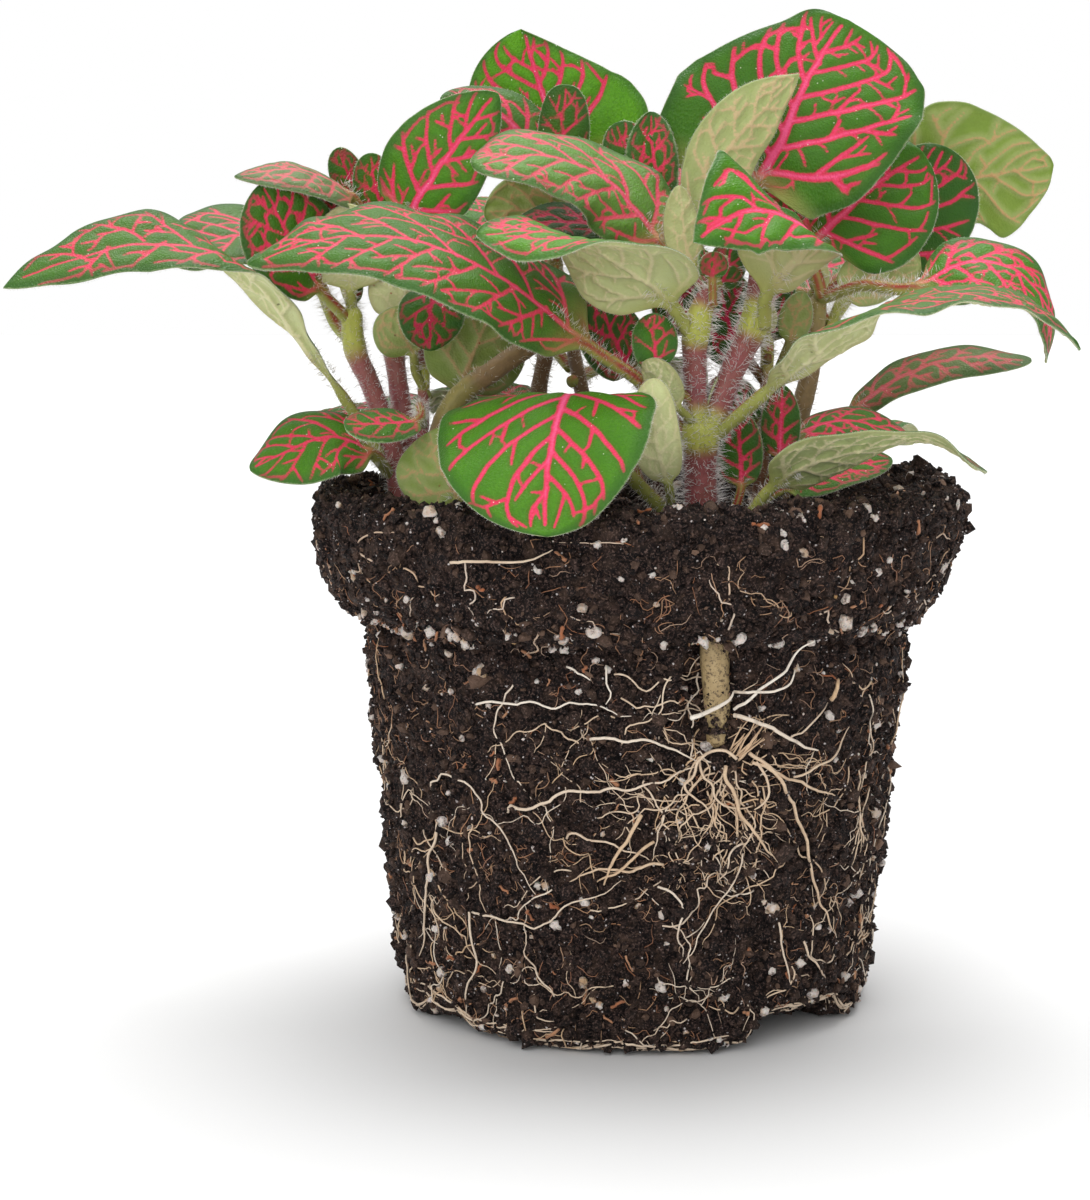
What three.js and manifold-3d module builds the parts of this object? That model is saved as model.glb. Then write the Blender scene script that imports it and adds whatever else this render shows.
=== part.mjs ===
// A pink-veined nerve plant lifted out of its nursery pot: leaves on forked, creeping stems,
// standing in a bare root ball that has kept the shape of the pot.
// Millimetres, +Z up, origin at the centre of the root ball's flat bottom, the photographed side at -Y.
import * as THREE from "three";
import { mergeVertices } from "three/addons/utils/BufferGeometryUtils.js";
import Module from "manifold-3d";

// ---------------------------------------------------------------- driving dimensions

const BALL = {
  bottomRadius: 36, // flat ring that the ball stands on
  footRadius: 41.3, // where the rounded foot meets the wall
  footHeight: 2.2,
  creaseRadius: 48.8, // under the band moulded by the pot's rim
  creaseHeight: 69,
  bandRadius: 51.5, // the band's lower edge
  bandHeight: 71.5,
  rimRadius: 57, // the band's upper edge
  rimHeight: 87.5,
  edgeRadius: 56, // rounded edge over the band
  edgeHeight: 90.4,
  lipHeight: 91, // ragged lip of soil around the top
  lipRadius: 52,
  soilHeight: 88.5, // soil surface inside the lip
  soilRadius: 46,
  segments: 48, // round the ball
};

// The hollow in the front of the wall that bares the buried end of the stem.
const HOLLOW = { centre: [10.5, -47, 62], radii: [5.5, 7, 9.6], segments: 16, rings: 10 };

const BURIED_STEM = {
  from: [10.5, -44.6, 68],
  fork: [10.8, -45.4, 59], // where the roots leave it
  to: [10.8, -45.4, 57],
  radius: 2.2,
};

const ROOT_RADIUS = 0.55;
const ROOT_CLEARANCE = 0.35; // between a root and the wall it lies along
const HOLLOW_CLEARANCE = 1.4; // where a root comes out over the edge of the hollow
const ROOT_SIDES = 6;

// Roots that spread from the buried stem: points of [degrees round from the front, height].
const ROOTS = [
  [[9, 53], [2, 50], [-8, 47], [-19, 44.5], [-30, 43]],
  [[11, 50], [5, 42], [-2, 34], [-8, 24], [-11, 14]],
  [[16, 50], [23, 44], [31, 35], [38, 22], [41, 9]],
  [[17, 58], [22, 61], [28, 65], [31, 67.5]],
];

const ROOT_STEP = 6; // length of root between rings

const STEM_SIDES = 8;
const STEM_STEP = 5; // length of stem between rings
const STUB_TAPER = 0.8; // radius at the buried stem's broken end, as a share of its radius

const PETIOLE_RADIUS = 1.1;
const LEAF_THICKNESS = 0.7;
const LEAF_BANDS = 8; // rings along a blade
const PETIOLE_BANDS = 3;
const RING = [-1, -0.5, 0, 0.5, 1]; // places across a blade, from its left edge to its right
const BLEND = 0.14; // share of the blade over which the round petiole flattens out
const RING_SPREAD = 1.1; // how much closer a blade's rings lie towards its foot
const LAST_RING = 0.985; // share of the blade at its last ring

const SAMPLES = 24; // between two points of a route
const HEADING_REACH = 0.01; // share of a route on either side over which its heading is taken

// Surface colours, roughness and metalness.
const FINISH = {
  leaf: [0x3f7a2c, 0.55],
  stem: [0x9a6a5c, 0.6],
  root: [0xd8c39a, 0.7],
  soil: [0x2a211d, 0.95],
};

// Stems: forks share one entry. Each shoot is a list of [x, y, z, radius].
const STEMS = {
  main_stem: [
    [[10.5, -25, 89, 2.9], [10.2, -26, 97, 2.6], [10, -27, 104, 3.3], [10, -27, 107, 2.8]],
    [[9.6, -27, 105, 2.2], [9, -28, 113, 1.9], [9.2, -29, 121, 2.2], [11.5, -28.5, 128, 1.6]],
    [[11, -27, 105, 2.2], [15.5, -26, 114, 2], [19.2, -25, 122, 2.3], [20.3, -24, 134, 1.7]],
  ],
  left_stem: [
    [[-41, -4, 89, 2.2], [-42.6, -4, 98, 2], [-46.7, -3.5, 110.5, 1.7], [-49.5, -3, 117, 1.9],
      [-50, -2, 125, 1.6]],
    [[-40.2, -2, 90, 2], [-40.6, 0.5, 100, 1.9], [-42.2, 1, 111, 1.7], [-43, 1, 118.5, 2],
      [-44, 1, 134, 1.6]],
    [[-39.6, -4.4, 90, 1.6], [-37.6, -4, 101, 1], [-37.4, -3, 111, 1], [-37.2, -3, 124, 1]],
  ],
  leaning_stem: [
    [[-37.5, -18, 90, 1.9], [-32, -14.5, 107.5, 1.9], [-24, -14, 114, 1.8], [-15, -12, 120.5, 1.6],
      [-9, -9, 129, 1.4]],
  ],
  back_stem: [
    [[-15, 13, 89.5, 1.7], [-17.2, 10, 107, 1.5], [-15.6, 10, 117.5, 1.4], [-14, 9, 134, 1.4]],
  ],
  back_leaning_stem: [
    [[-4, 17, 89.5, 1.6], [-9.5, 14, 110, 1.3], [-11, 17, 119, 1.3], [-10, 22, 132, 1.2]],
  ],
  centre_stem: [
    [[5, 0, 89.5, 1.7], [4.5, -3, 112, 1.5], [4.2, -6, 134, 1.3]],
  ],
  right_stem: [
    [[28, 0, 89.5, 1.9], [29.1, 0, 103.5, 1.8], [31.3, 1, 113, 1.7], [32.7, 2, 127, 1.6]],
  ],
  thin_stem: [
    [[21, -6, 89.5, 1.3], [22.3, -8, 99.5, 1.1], [22.8, -8, 120, 1.1]],
  ],
};

// Leaves. petiole runs from the stem to the foot of the blade, and midrib on to the tip. face is the
// way that the upper side looks, at even steps from foot to tip. left and right are half of the blade:
// [width, fold up from the midrib, curl out to the edge], in millimetres and degrees. shape says how
// full the blade is towards its foot and its tip: the smaller, the rounder. rightShape, where given,
// is the right half's own.
const LEAVES = {
  far_left_leaf: {
    petiole: [[-46, -5, 100], [-51, -6, 108]],
    midrib: [[-58, -13, 119.5], [-65, -22, 129], [-71, -27, 133.5], [-83, -30, 135], [-94, -32, 132],
      [-105, -32, 127.5]],
    face: [[0.3, 0.6, 0.75], [0.1, 0.1, 1], [0, -0.7, 0.75], [-0.1, -0.7, 0.7]],
    left: [7, 5, -15],
    right: [9, 5, -15],
    shape: [1.6, 0.9],
  },
  left_back_leaf: {
    petiole: [[-52.8, -0.8, 121], [-57, -1, 130]],
    midrib: [[-67, -4, 136], [-75, -8, 135], [-81.5, -9, 132]],
    face: [[0, -0.3, 0.95], [-0.1, -0.7, 0.7]],
    left: [10, 5, -10],
    right: [12, 5, -10],
    shape: [0.55, 0.7],
  },
  left_upright_leaf: {
    petiole: [[-52, -4, 123.5], [-55, -7, 127]],
    midrib: [[-60, -12, 136], [-64, -14, 145.5]],
    face: [[0.2, -0.6, 0.75], [0, -1, 0.1]],
    left: [8.5, 5, -10],
    right: [9, 5, -10],
    shape: [0.5, 0.6],
  },
  left_top_leaf: {
    petiole: [[-46.4, 0.4, 133.5], [-49.5, -4, 143]],
    midrib: [[-58.5, -11, 147.5], [-68.7, -16, 146.3]],
    face: [[0, -0.5, 0.87], [-0.1, -0.5, 0.87]],
    left: [8, 0, -20],
    right: [7, 0, -20],
    shape: [0.5, 0.8],
  },
  left_shaded_leaf: {
    petiole: [[-46, -1.6, 129], [-51, -3.2, 137.5]],
    midrib: [[-57, -4, 141], [-64, -6, 143.5]],
    face: [[0, -0.9, 0.4], [0, -0.9, 0.4]],
    left: [5, 0, -10],
    right: [5, 0, -10],
    shape: [0.5, 0.7],
  },
  left_small_leaf: {
    petiole: [[-45, 3.6, 133.5], [-48, 2.5, 142]],
    midrib: [[-50.5, 1.5, 147], [-52.6, 0.5, 152]],
    face: [[0, -1, 0.2], [0, -1, 0.2]],
    left: [3.4, 0, -10],
    right: [3, 0, -10],
    shape: [0.5, 0.5],
  },
  raised_left_leaf: {
    petiole: [[-41.2, -0.4, 133.6], [-40, -6, 138.5]],
    midrib: [[-33.5, -10, 149.5], [-24, -9, 160.7]],
    face: [[0, -1, 0.3], [0, -1, 0.2]],
    left: [9.8, 5, -10],
    right: [8.5, 5, -10],
    shape: [0.45, 0.75],
  },
  top_left_leaf: {
    petiole: [[-12, 10, 136], [-11.5, 11, 149.5]],
    midrib: [[-16, 13.5, 162], [-20.4, 14, 173.8]],
    face: [[0, -1, 0.2], [0, -1, 0.1]],
    left: [14.9, 5, -10],
    right: [16.5, 5, -10],
    shape: [0.45, 0.5],
    rightShape: [0.3, 1.1],
  },
  hooded_leaf: {
    petiole: [[-15, 7, 135.5], [-16, 4, 148.5]],
    midrib: [[-23, 2, 157], [-34.4, 1, 160.7]],
    face: [[0, -0.9, 0.4], [0, -0.9, 0.4]],
    left: [8, 0, -15],
    right: [6.5, 0, -25],
    shape: [0.5, 0.6],
  },
  centre_top_leaf: {
    petiole: [[10, -26, 128.5], [4, -22, 134.5]],
    midrib: [[-1, -22, 140.5], [-6.8, -23, 145.7], [-16.8, -26, 149], [-28, -30, 147.4]],
    face: [[-0.3, -0.5, 0.8], [0, -0.6, 0.8], [-0.1, -0.6, 0.8]],
    left: [10, 0, -15],
    right: [12.5, 0, -15],
    shape: [0.45, 0.6],
  },
  centre_turned_leaf: {
    petiole: [[-9, -7, 129.5], [-8, -6, 136.5]],
    midrib: [[-17, -10, 141], [-26.5, -13, 140.5]],
    face: [[0, 0.9, 0.4], [0, 0.9, 0.4]],
    left: [7, 0, 10],
    right: [5, 0, 10],
    shape: [0.5, 0.5],
  },
  centre_shaded_leaf: {
    petiole: [[2.5, -8, 132], [-3, -13, 136.5]],
    midrib: [[-11.8, -16, 138.7], [-21.6, -18, 137.8]],
    face: [[0, -0.7, 0.7], [0, -0.7, 0.7]],
    left: [4, 0, 0],
    right: [5, 0, 0],
    shape: [0.5, 0.6],
  },
  centre_front_leaf: {
    petiole: [[7, -30.5, 121.5], [5, -33, 124.5]],
    midrib: [[-0.5, -37, 129.5], [-8.7, -41, 134.4], [-17.6, -43, 136.3], [-27, -43, 136]],
    face: [[0.2, 0.8, 0.5], [0.1, 0.1, 1], [0, -0.7, 0.7]],
    left: [13, 0, -10],
    right: [13, 0, -10],
    shape: [0.55, 0.8],
  },
  front_left_leaf: {
    petiole: [[6, -27.5, 105], [0, -29, 112], [-8, -30, 117.5]],
    midrib: [[-16, -32, 124.3], [-26.6, -35, 130.8], [-39.5, -38, 135], [-52.3, -40, 134.8],
      [-63.9, -40, 131.2]],
    face: [[-0.3, -0.6, 0.75], [0, -0.55, 0.83], [-0.1, -0.6, 0.8]],
    left: [13, 0, -15],
    right: [15, 0, -15],
    shape: [0.55, 0.8],
  },
  front_hanging_leaf: {
    petiole: [[5, -34, 90], [-2, -36, 97], [-7, -38, 104]],
    midrib: [[-12, -44, 110.5], [-15, -54, 103.5], [-15.7, -61.5, 89.4]],
    face: [[0.1, 0.5, 0.85], [-0.3, -0.75, 0.65], [-0.1, -0.9, 0.4]],
    left: [16, 0, -5],
    right: [20, 0, -5],
    shape: [0.5, 0.6],
  },
  turned_mid_leaf: {
    petiole: [[-31.5, -12, 106], [-31, -9, 109]],
    midrib: [[-28, -8, 117.7], [-24, -8, 127.2]],
    face: [[0, 1, 0.2], [0, 1, 0.2]],
    left: [9, 0, 10],
    right: [9, 0, 10],
    shape: [0.5, 0.6],
  },
  small_heart_leaf: {
    petiole: [[-36.5, -4.6, 124], [-35.5, -11, 127.5]],
    midrib: [[-35.7, -15, 122.5], [-35.6, -14, 116.8]],
    face: [[0, -0.6, 0.8], [0, -1, 0.1]],
    left: [6, 0, 0],
    right: [5.5, 0, 0],
    shape: [0.5, 0.6],
  },
  small_turned_leaf: {
    petiole: [[-38.8, -4.5, 113], [-39, -6, 116]],
    midrib: [[-41, -9, 120], [-41.5, -9, 124.5]],
    face: [[0, 1, 0.1], [0, 1, 0.1]],
    left: [5, 0, 0],
    right: [5, 0, 0],
    shape: [0.5, 0.5],
  },
  low_left_leaf: {
    petiole: [[-44, -6.5, 96], [-46, -12, 99]],
    midrib: [[-53, -15, 102], [-66.5, -18, 96.5]],
    face: [[0, -0.5, 0.85], [-0.1, -0.6, 0.8]],
    left: [10, 0, -10],
    right: [10, 0, -10],
    shape: [0.5, 0.7],
  },
  low_small_leaf: {
    petiole: [[-37.5, -5.5, 104], [-37.5, -16, 107.5], [-37.5, -26, 105.5]],
    midrib: [[-42.5, -29, 105], [-49.3, -31, 105]],
    face: [[0, -0.6, 0.8], [0, -0.6, 0.8]],
    left: [4.5, 0, 0],
    right: [4.5, 0, 0],
    shape: [0.5, 0.5],
  },
  low_turned_leaf: {
    petiole: [[-29, -29, 90], [-30, -31, 92]],
    midrib: [[-33.5, -28, 98], [-35.5, -23, 103.5]],
    face: [[0, 1, 0.3], [0, 1, 0.3]],
    left: [8, 0, 0],
    right: [8, 0, 0],
    shape: [0.5, 0.5],
  },
  right_big_leaf: {
    petiole: [[20.5, -22, 135.5], [20.5, -8, 144.5]],
    midrib: [[24.1, -7, 154.6], [30.8, -5, 164.9], [33.6, -1, 174.9]],
    face: [[-0.1, -0.95, 0.3], [-0.1, -0.95, 0.3]],
    left: [19, 0, 0],
    right: [21, 0, 0],
    shape: [0.4, 0.75],
    rightShape: [0.4, 0.48],
  },
  pale_curled_leaf: {
    petiole: [[12, -27, 129.5], [9.5, -20, 136.5]],
    midrib: [[12.5, -18, 149], [18.1, -16, 156.5], [27.4, -12, 164]],
    face: [[-0.2, 0.9, 0.3], [-0.2, 0.9, 0.3]],
    left: [6, 0, 10],
    right: [6, 0, 10],
    shape: [0.7, 0.7],
  },
  front_folded_leaf: {
    petiole: [[20.5, -27.6, 123], [20.5, -29, 126]],
    midrib: [[23.5, -30, 134], [22, -35, 141], [14.5, -41, 138.5], [7.5, -44, 134.7]],
    face: [[0, 0.8, 0.5], [0.3, -0.2, 0.9], [0, -0.8, 0.5]],
    left: [11, 0, 0],
    right: [17.5, 0, 0],
    shape: [0.5, 0.6],
  },
  right_under_leaf: {
    petiole: [[32.5, 0, 128], [31, 0, 134.5]],
    midrib: [[39.5, 1, 142.9], [50.8, 3, 151.4]],
    face: [[0.1, -0.95, 0.3], [0.1, -0.95, 0.3]],
    left: [11, 0, 0],
    right: [12, 0, 0],
    shape: [0.45, 0.5],
  },
  right_dark_leaf: {
    petiole: [[33.2, 4.4, 127], [39, 10, 130], [46, 13, 131]],
    midrib: [[51, 14, 140.7], [56.5, 14, 153]],
    face: [[0.1, -0.9, 0.35], [0.1, -0.9, 0.35]],
    left: [9, 0, 0],
    right: [11, 0, 0],
    shape: [0.5, 0.5],
  },
  right_pale_leaf: {
    petiole: [[32.8, 4.4, 118], [42, 18, 129], [51, 21, 140]],
    midrib: [[65.5, 22, 147.5], [77.8, 22, 150]],
    face: [[-0.2, 0.9, 0.3], [-0.2, 0.9, 0.3]],
    left: [14, 0, 5],
    right: [18, 0, 5],
    shape: [0.45, 0.9],
  },
  right_arching_leaf: {
    petiole: [[14, -28.5, 104.5], [19.5, -33, 109.8]],
    midrib: [[27, -38, 116.8], [34.6, -42, 122.5], [44, -43, 126], [55.2, -43, 127], [64.3, -42, 123.5],
      [70.5, -40, 117.6]],
    face: [[-0.4, 0.65, 0.65], [-0.1, -0.1, 1], [0.2, -0.3, 0.9]],
    left: [11, 0, -10],
    right: [13, 0, -10],
    shape: [0.6, 0.8],
  },
  right_clawed_leaf: {
    petiole: [[34, -0.5, 126], [39, -10, 128], [46, -20, 127.5]],
    midrib: [[55, -23, 131.5], [63, -24, 130], [68.5, -24, 123], [68.3, -23, 115]],
    face: [[-0.1, -0.6, 0.8], [0.4, -0.6, 0.7], [0.9, -0.3, 0.2]],
    left: [7.5, 0, -10],
    right: [9, 0, -10],
    shape: [0.5, 0.9],
  },
  right_lower_leaf: {
    petiole: [[31.5, 1, 99], [38, 5, 104.5]],
    midrib: [[47, 2, 111.5], [57.5, 0, 114.8], [70, -2, 114.7]],
    face: [[-0.2, -0.7, 0.7], [0, -0.6, 0.8]],
    left: [6.5, 0, -10],
    right: [5.5, 0, -10],
    shape: [0.5, 0.7],
  },
  low_right_leaf: {
    petiole: [[27.6, -2.4, 97], [27.5, -8, 101.5]],
    midrib: [[36.5, -9.5, 104.5], [48, -10, 101.5]],
    face: [[0, -0.45, 0.9], [0, -0.45, 0.9]],
    left: [6, 0, -10],
    right: [6, 0, -10],
    shape: [0.5, 0.6],
  },
  low_curled_leaf: {
    petiole: [[18, -32, 90.2], [21, -34, 94.5]],
    midrib: [[27, -36, 99], [37, -37, 102], [46.5, -37, 103], [56.6, -36, 97.5]],
    face: [[-0.4, 0.8, 0.5], [0, 0.3, 0.9], [0.3, -0.2, 0.9]],
    left: [8, 0, 0],
    right: [8, 0, 0],
    shape: [0.5, 0.8],
  },
  low_lying_leaf: {
    petiole: [[19.5, -19, 90.2], [24.5, -21, 93.5]],
    midrib: [[33.5, -22, 97], [43, -22, 98.5]],
    face: [[0, -0.6, 0.8], [0, -0.6, 0.8]],
    left: [5, 0, 0],
    right: [5, 0, 0],
    shape: [0.5, 0.6],
  },
  centre_small_leaf: {
    petiole: [[7, -29.6, 110], [2.5, -33.5, 114]],
    midrib: [[2, -33.5, 119], [2, -32, 123.5]],
    face: [[0, -1, 0.1], [0, -1, 0.1]],
    left: [3.8, 0, 0],
    right: [3.8, 0, 0],
    shape: [0.5, 0.5],
  },
  bud_leaf: {
    petiole: [[11.6, -31.3, 127], [11.5, -32.4, 129]],
    midrib: [[11.6, -33.2, 131], [11.7, -33.6, 133.5]],
    face: [[0, -1, 0.1], [0, -1, 0.1]],
    left: [2.4, 0, 0],
    right: [2.4, 0, 0],
    shape: [0.5, 0.5],
  },
  centre_dark_leaf: {
    petiole: [[2.8, -4.6, 108], [-1, -16, 113]],
    midrib: [[-5, -18, 120], [-6.5, -18, 127.5]],
    face: [[0.3, -0.9, 0.2], [0.3, -0.9, 0.2]],
    left: [6, 0, 0],
    right: [6, 0, 0],
    shape: [0.5, 0.6],
  },
  low_upright_leaf: {
    petiole: [[16.5, -19, 89.8], [17.5, -19, 93.5]],
    midrib: [[17.3, -18, 100], [17.5, -17, 107]],
    face: [[0, -1, 0.15], [0, -1, 0.15]],
    left: [4.5, 0, 0],
    right: [4, 0, 0],
    shape: [0.5, 0.6],
  },
  narrow_upright_leaf: {
    petiole: [[23.5, -9.8, 95], [24.5, -13, 98]],
    midrib: [[24.7, -13.5, 104], [25, -13, 111]],
    face: [[0, -1, 0.1], [0, -1, 0.1]],
    left: [3.5, 0, 0],
    right: [3.5, 0, 0],
    shape: [0.5, 0.6],
  },
  back_centre_leaf: {
    petiole: [[3.5, -4, 135], [3.2, -5, 142.7]],
    midrib: [[-0.5, -5, 149.5], [-3.8, -5, 156]],
    face: [[0, -1, 0.1], [0, -1, 0.1]],
    left: [5, 0, 0],
    right: [5, 0, 0],
    shape: [0.5, 0.5],
  },
  folded_centre_leaf: {
    petiole: [[4.6, -7.6, 134.5], [5, -10.5, 141]],
    midrib: [[5, -10.5, 150], [4.6, -8, 158]],
    face: [[0, -1, 0.1], [0, -1, 0.1]],
    left: [5, 20, 0],
    right: [4.5, 20, 0],
    shape: [0.5, 0.6],
  },
  right_turned_leaf: {
    petiole: [[35, 2.2, 121], [37, 4, 125.5]],
    midrib: [[43.5, 5, 130.5], [51.3, 6, 132]],
    face: [[-0.2, 0.9, 0.3], [-0.2, 0.9, 0.3]],
    left: [6, 0, 0],
    right: [6, 0, 0],
    shape: [0.5, 0.5],
  },
  right_brown_leaf: {
    petiole: [[25.2, -8, 115], [26.4, -8, 118]],
    midrib: [[27.5, -8, 122], [28.8, -8, 127]],
    face: [[0, 0.9, 0.3], [0, 0.9, 0.3]],
    left: [3, 0, 0],
    right: [3, 0, 0],
    shape: [0.5, 0.6],
  },
  back_low_left_leaf: {
    petiole: [[-40.6, 3.2, 100], [-42, 10, 104]],
    midrib: [[-50, 20, 106], [-60, 30, 101]],
    face: [[-0.2, -0.2, 1], [-0.4, 0.5, 0.8]],
    left: [10, 5, -10],
    right: [10, 5, -10],
    shape: [0.5, 0.7],
  },
  back_upper_left_leaf: {
    petiole: [[-44, 3.6, 129], [-46, 10, 134]],
    midrib: [[-54, 20, 139], [-64, 30, 137]],
    face: [[-0.2, -0.2, 1], [-0.4, 0.4, 0.8]],
    left: [10, 5, -10],
    right: [10, 5, -10],
    shape: [0.5, 0.7],
  },
  back_mid_left_leaf: {
    petiole: [[-14.5, 11.6, 131], [-19, 18, 136]],
    midrib: [[-27, 30, 143], [-36, 42, 144]],
    face: [[-0.2, -0.3, 1], [-0.3, 0.5, 0.8]],
    left: [11, 5, -10],
    right: [11, 5, -10],
    shape: [0.5, 0.7],
  },
  back_mid_leaf: {
    petiole: [[-9.8, 23.5, 133.5], [-8, 27, 137]],
    midrib: [[-3, 38, 144], [3, 50, 144]],
    face: [[0, -0.3, 1], [0.1, 0.6, 0.8]],
    left: [11, 5, -10],
    right: [11, 5, -10],
    shape: [0.5, 0.7],
  },
  back_mid_low_leaf: {
    petiole: [[-12.3, 18.6, 114], [-16, 25, 118]],
    midrib: [[-25, 36, 121], [-34, 45, 117]],
    face: [[-0.1, 0, 1], [-0.3, 0.5, 0.8]],
    left: [10, 5, -10],
    right: [10, 5, -10],
    shape: [0.5, 0.7],
  },
  back_low_leaf: {
    petiole: [[2, 30, 90.2], [0, 36, 97]],
    midrib: [[-3, 46, 102], [-6, 58, 99]],
    face: [[0, 0, 1], [0, 0.7, 0.7]],
    left: [11, 5, -10],
    right: [11, 5, -10],
    shape: [0.5, 0.7],
  },
  back_right_leaf: {
    petiole: [[33.5, 4.6, 122.5], [33, 16, 126]],
    midrib: [[31, 30, 135], [28, 43, 138]],
    face: [[0.1, -0.3, 1], [0.1, 0.4, 0.9]],
    left: [11, 5, -10],
    right: [11, 5, -10],
    shape: [0.5, 0.7],
  },
  back_low_right_leaf: {
    petiole: [[32, 26, 90.2], [37, 30, 96]],
    midrib: [[46, 38, 101], [56, 46, 97]],
    face: [[0, 0, 1], [0.4, 0.5, 0.8]],
    left: [10, 5, -10],
    right: [10, 5, -10],
    shape: [0.5, 0.7],
  },
};

// ---------------------------------------------------------------- shape helpers

const vector = ([x, y, z]) => new THREE.Vector3(x, y, z);

const wasm = await Module();
wasm.setup();

/** A route through points that can be asked for its place and heading at any length along it. */
function makeRoute(points) {
  const curve = new THREE.CatmullRomCurve3(points.map(vector));
  const places = curve.getPoints((points.length - 1) * SAMPLES);
  const lengths = [0];
  for (let i = 1; i < places.length; i += 1) {
    lengths.push(lengths[i - 1] + places[i].distanceTo(places[i - 1]));
  }
  const total = lengths[lengths.length - 1];
  const at = (length) => {
    let i = 1;
    while (i < places.length - 1 && lengths[i] < length) i += 1;
    const share = (length - lengths[i - 1]) / (lengths[i] - lengths[i - 1]);
    return places[i - 1].clone().lerp(places[i], share);
  };
  const heading = (length) => {
    const reach = total * HEADING_REACH;
    const ahead = at(Math.min(length + reach, total));
    return ahead.sub(at(Math.max(length - reach, 0))).normalize();
  };
  return { total, at, heading, lengthTo: (index) => lengths[index * SAMPLES] };
}

/** Skins a stack of rings with equal numbers of points into one closed body. */
function skin(rings, first, last) {
  const sides = rings[0].length;
  const points = [...rings.flat(), first, last];
  const faces = [];
  for (let i = 0; i < rings.length - 1; i += 1) {
    for (let j = 0; j < sides; j += 1) {
      const here = i * sides + j;
      const next = i * sides + ((j + 1) % sides);
      faces.push(here, next, here + sides, next, next + sides, here + sides);
    }
  }
  const end = (rings.length - 1) * sides;
  for (let j = 0; j < sides; j += 1) {
    const next = (j + 1) % sides;
    faces.push(points.length - 2, next, j);
    faces.push(points.length - 1, end + j, end + next);
  }
  return new THREE.BufferGeometry().setFromPoints(points).setIndex(faces);
}

/** A solid for joining and cutting, from a closed geometry. */
function toSolid(geometry) {
  const bare = geometry.clone();
  bare.deleteAttribute("normal");
  bare.deleteAttribute("uv");
  const merged = mergeVertices(bare);
  return new wasm.Manifold(new wasm.Mesh({
    numProp: 3,
    vertProperties: merged.attributes.position.array,
    triVerts: new Uint32Array(merged.index.array),
  }));
}

function toGeometry(solid) {
  const mesh = solid.getMesh();
  const geometry = new THREE.BufferGeometry();
  geometry.setAttribute("position", new THREE.BufferAttribute(mesh.vertProperties, 3));
  geometry.setIndex(new THREE.BufferAttribute(mesh.triVerts, 1));
  return geometry;
}

const join = (geometries) => toGeometry(geometries.map(toSolid).reduce((a, b) => a.add(b)));

/** A round bar along a route, whose radius is given at each of the route's points. */
function bar(points, radii, sides, step) {
  const route = makeRoute(points);
  const count = Math.max(2, Math.round(route.total / step));
  const radiusAt = (length) => {
    let k = 0;
    while (k < points.length - 2 && route.lengthTo(k + 1) < length) k += 1;
    const share = (length - route.lengthTo(k)) / (route.lengthTo(k + 1) - route.lengthTo(k));
    return THREE.MathUtils.lerp(radii[k], radii[k + 1], THREE.MathUtils.clamp(share, 0, 1));
  };
  const rings = [];
  for (let i = 0; i <= count; i += 1) {
    const length = (route.total * i) / count;
    const radius = radiusAt(length);
    const heading = route.heading(length);
    const steady = vector(Math.abs(heading.y) < 0.9 ? [0, 1, 0] : [1, 0, 0]);
    const aside = new THREE.Vector3().crossVectors(heading, steady).normalize();
    const up = new THREE.Vector3().crossVectors(aside, heading);
    rings.push(Array.from({ length: sides }, (_, j) => {
      const turn = Math.PI - (2 * Math.PI * j) / sides;
      return route.at(length)
        .addScaledVector(aside, radius * Math.cos(turn))
        .addScaledVector(up, radius * Math.sin(turn));
    }));
  }
  return skin(rings, route.at(0), route.at(route.total));
}

// ---------------------------------------------------------------- leaves

/** Half-width of a blade as a share of its widest, t from foot to tip. */
function fullness(t, [foot, tip]) {
  const peak = foot / (foot + tip);
  return ((t / peak) ** foot) * (((1 - t) / (1 - peak)) ** tip);
}

/** Offset across a half blade at a share of its width: out, up, and the surface's tilt there. */
function crossSection(share, [width, fold, curl], scale) {
  const start = THREE.MathUtils.degToRad(fold);
  const bend = THREE.MathUtils.degToRad(curl) || 1e-6;
  const tilt = start + bend * share;
  const out = (width * scale * (Math.sin(tilt) - Math.sin(start))) / bend;
  const up = (width * scale * (Math.cos(start) - Math.cos(tilt))) / bend;
  return { out, up, tilt };
}

/** Lengths along a leaf's route at which its rings lie. */
function ringLengths(foot, blade) {
  const lengths = [];
  for (let i = 0; i < PETIOLE_BANDS; i += 1) {
    lengths.push((foot * i) / PETIOLE_BANDS);
  }
  for (let i = 0; i < LEAF_BANDS; i += 1) {
    lengths.push(foot + blade * (i / LEAF_BANDS) ** RING_SPREAD);
  }
  lengths.push(foot + blade * LAST_RING);
  return lengths;
}

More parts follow.
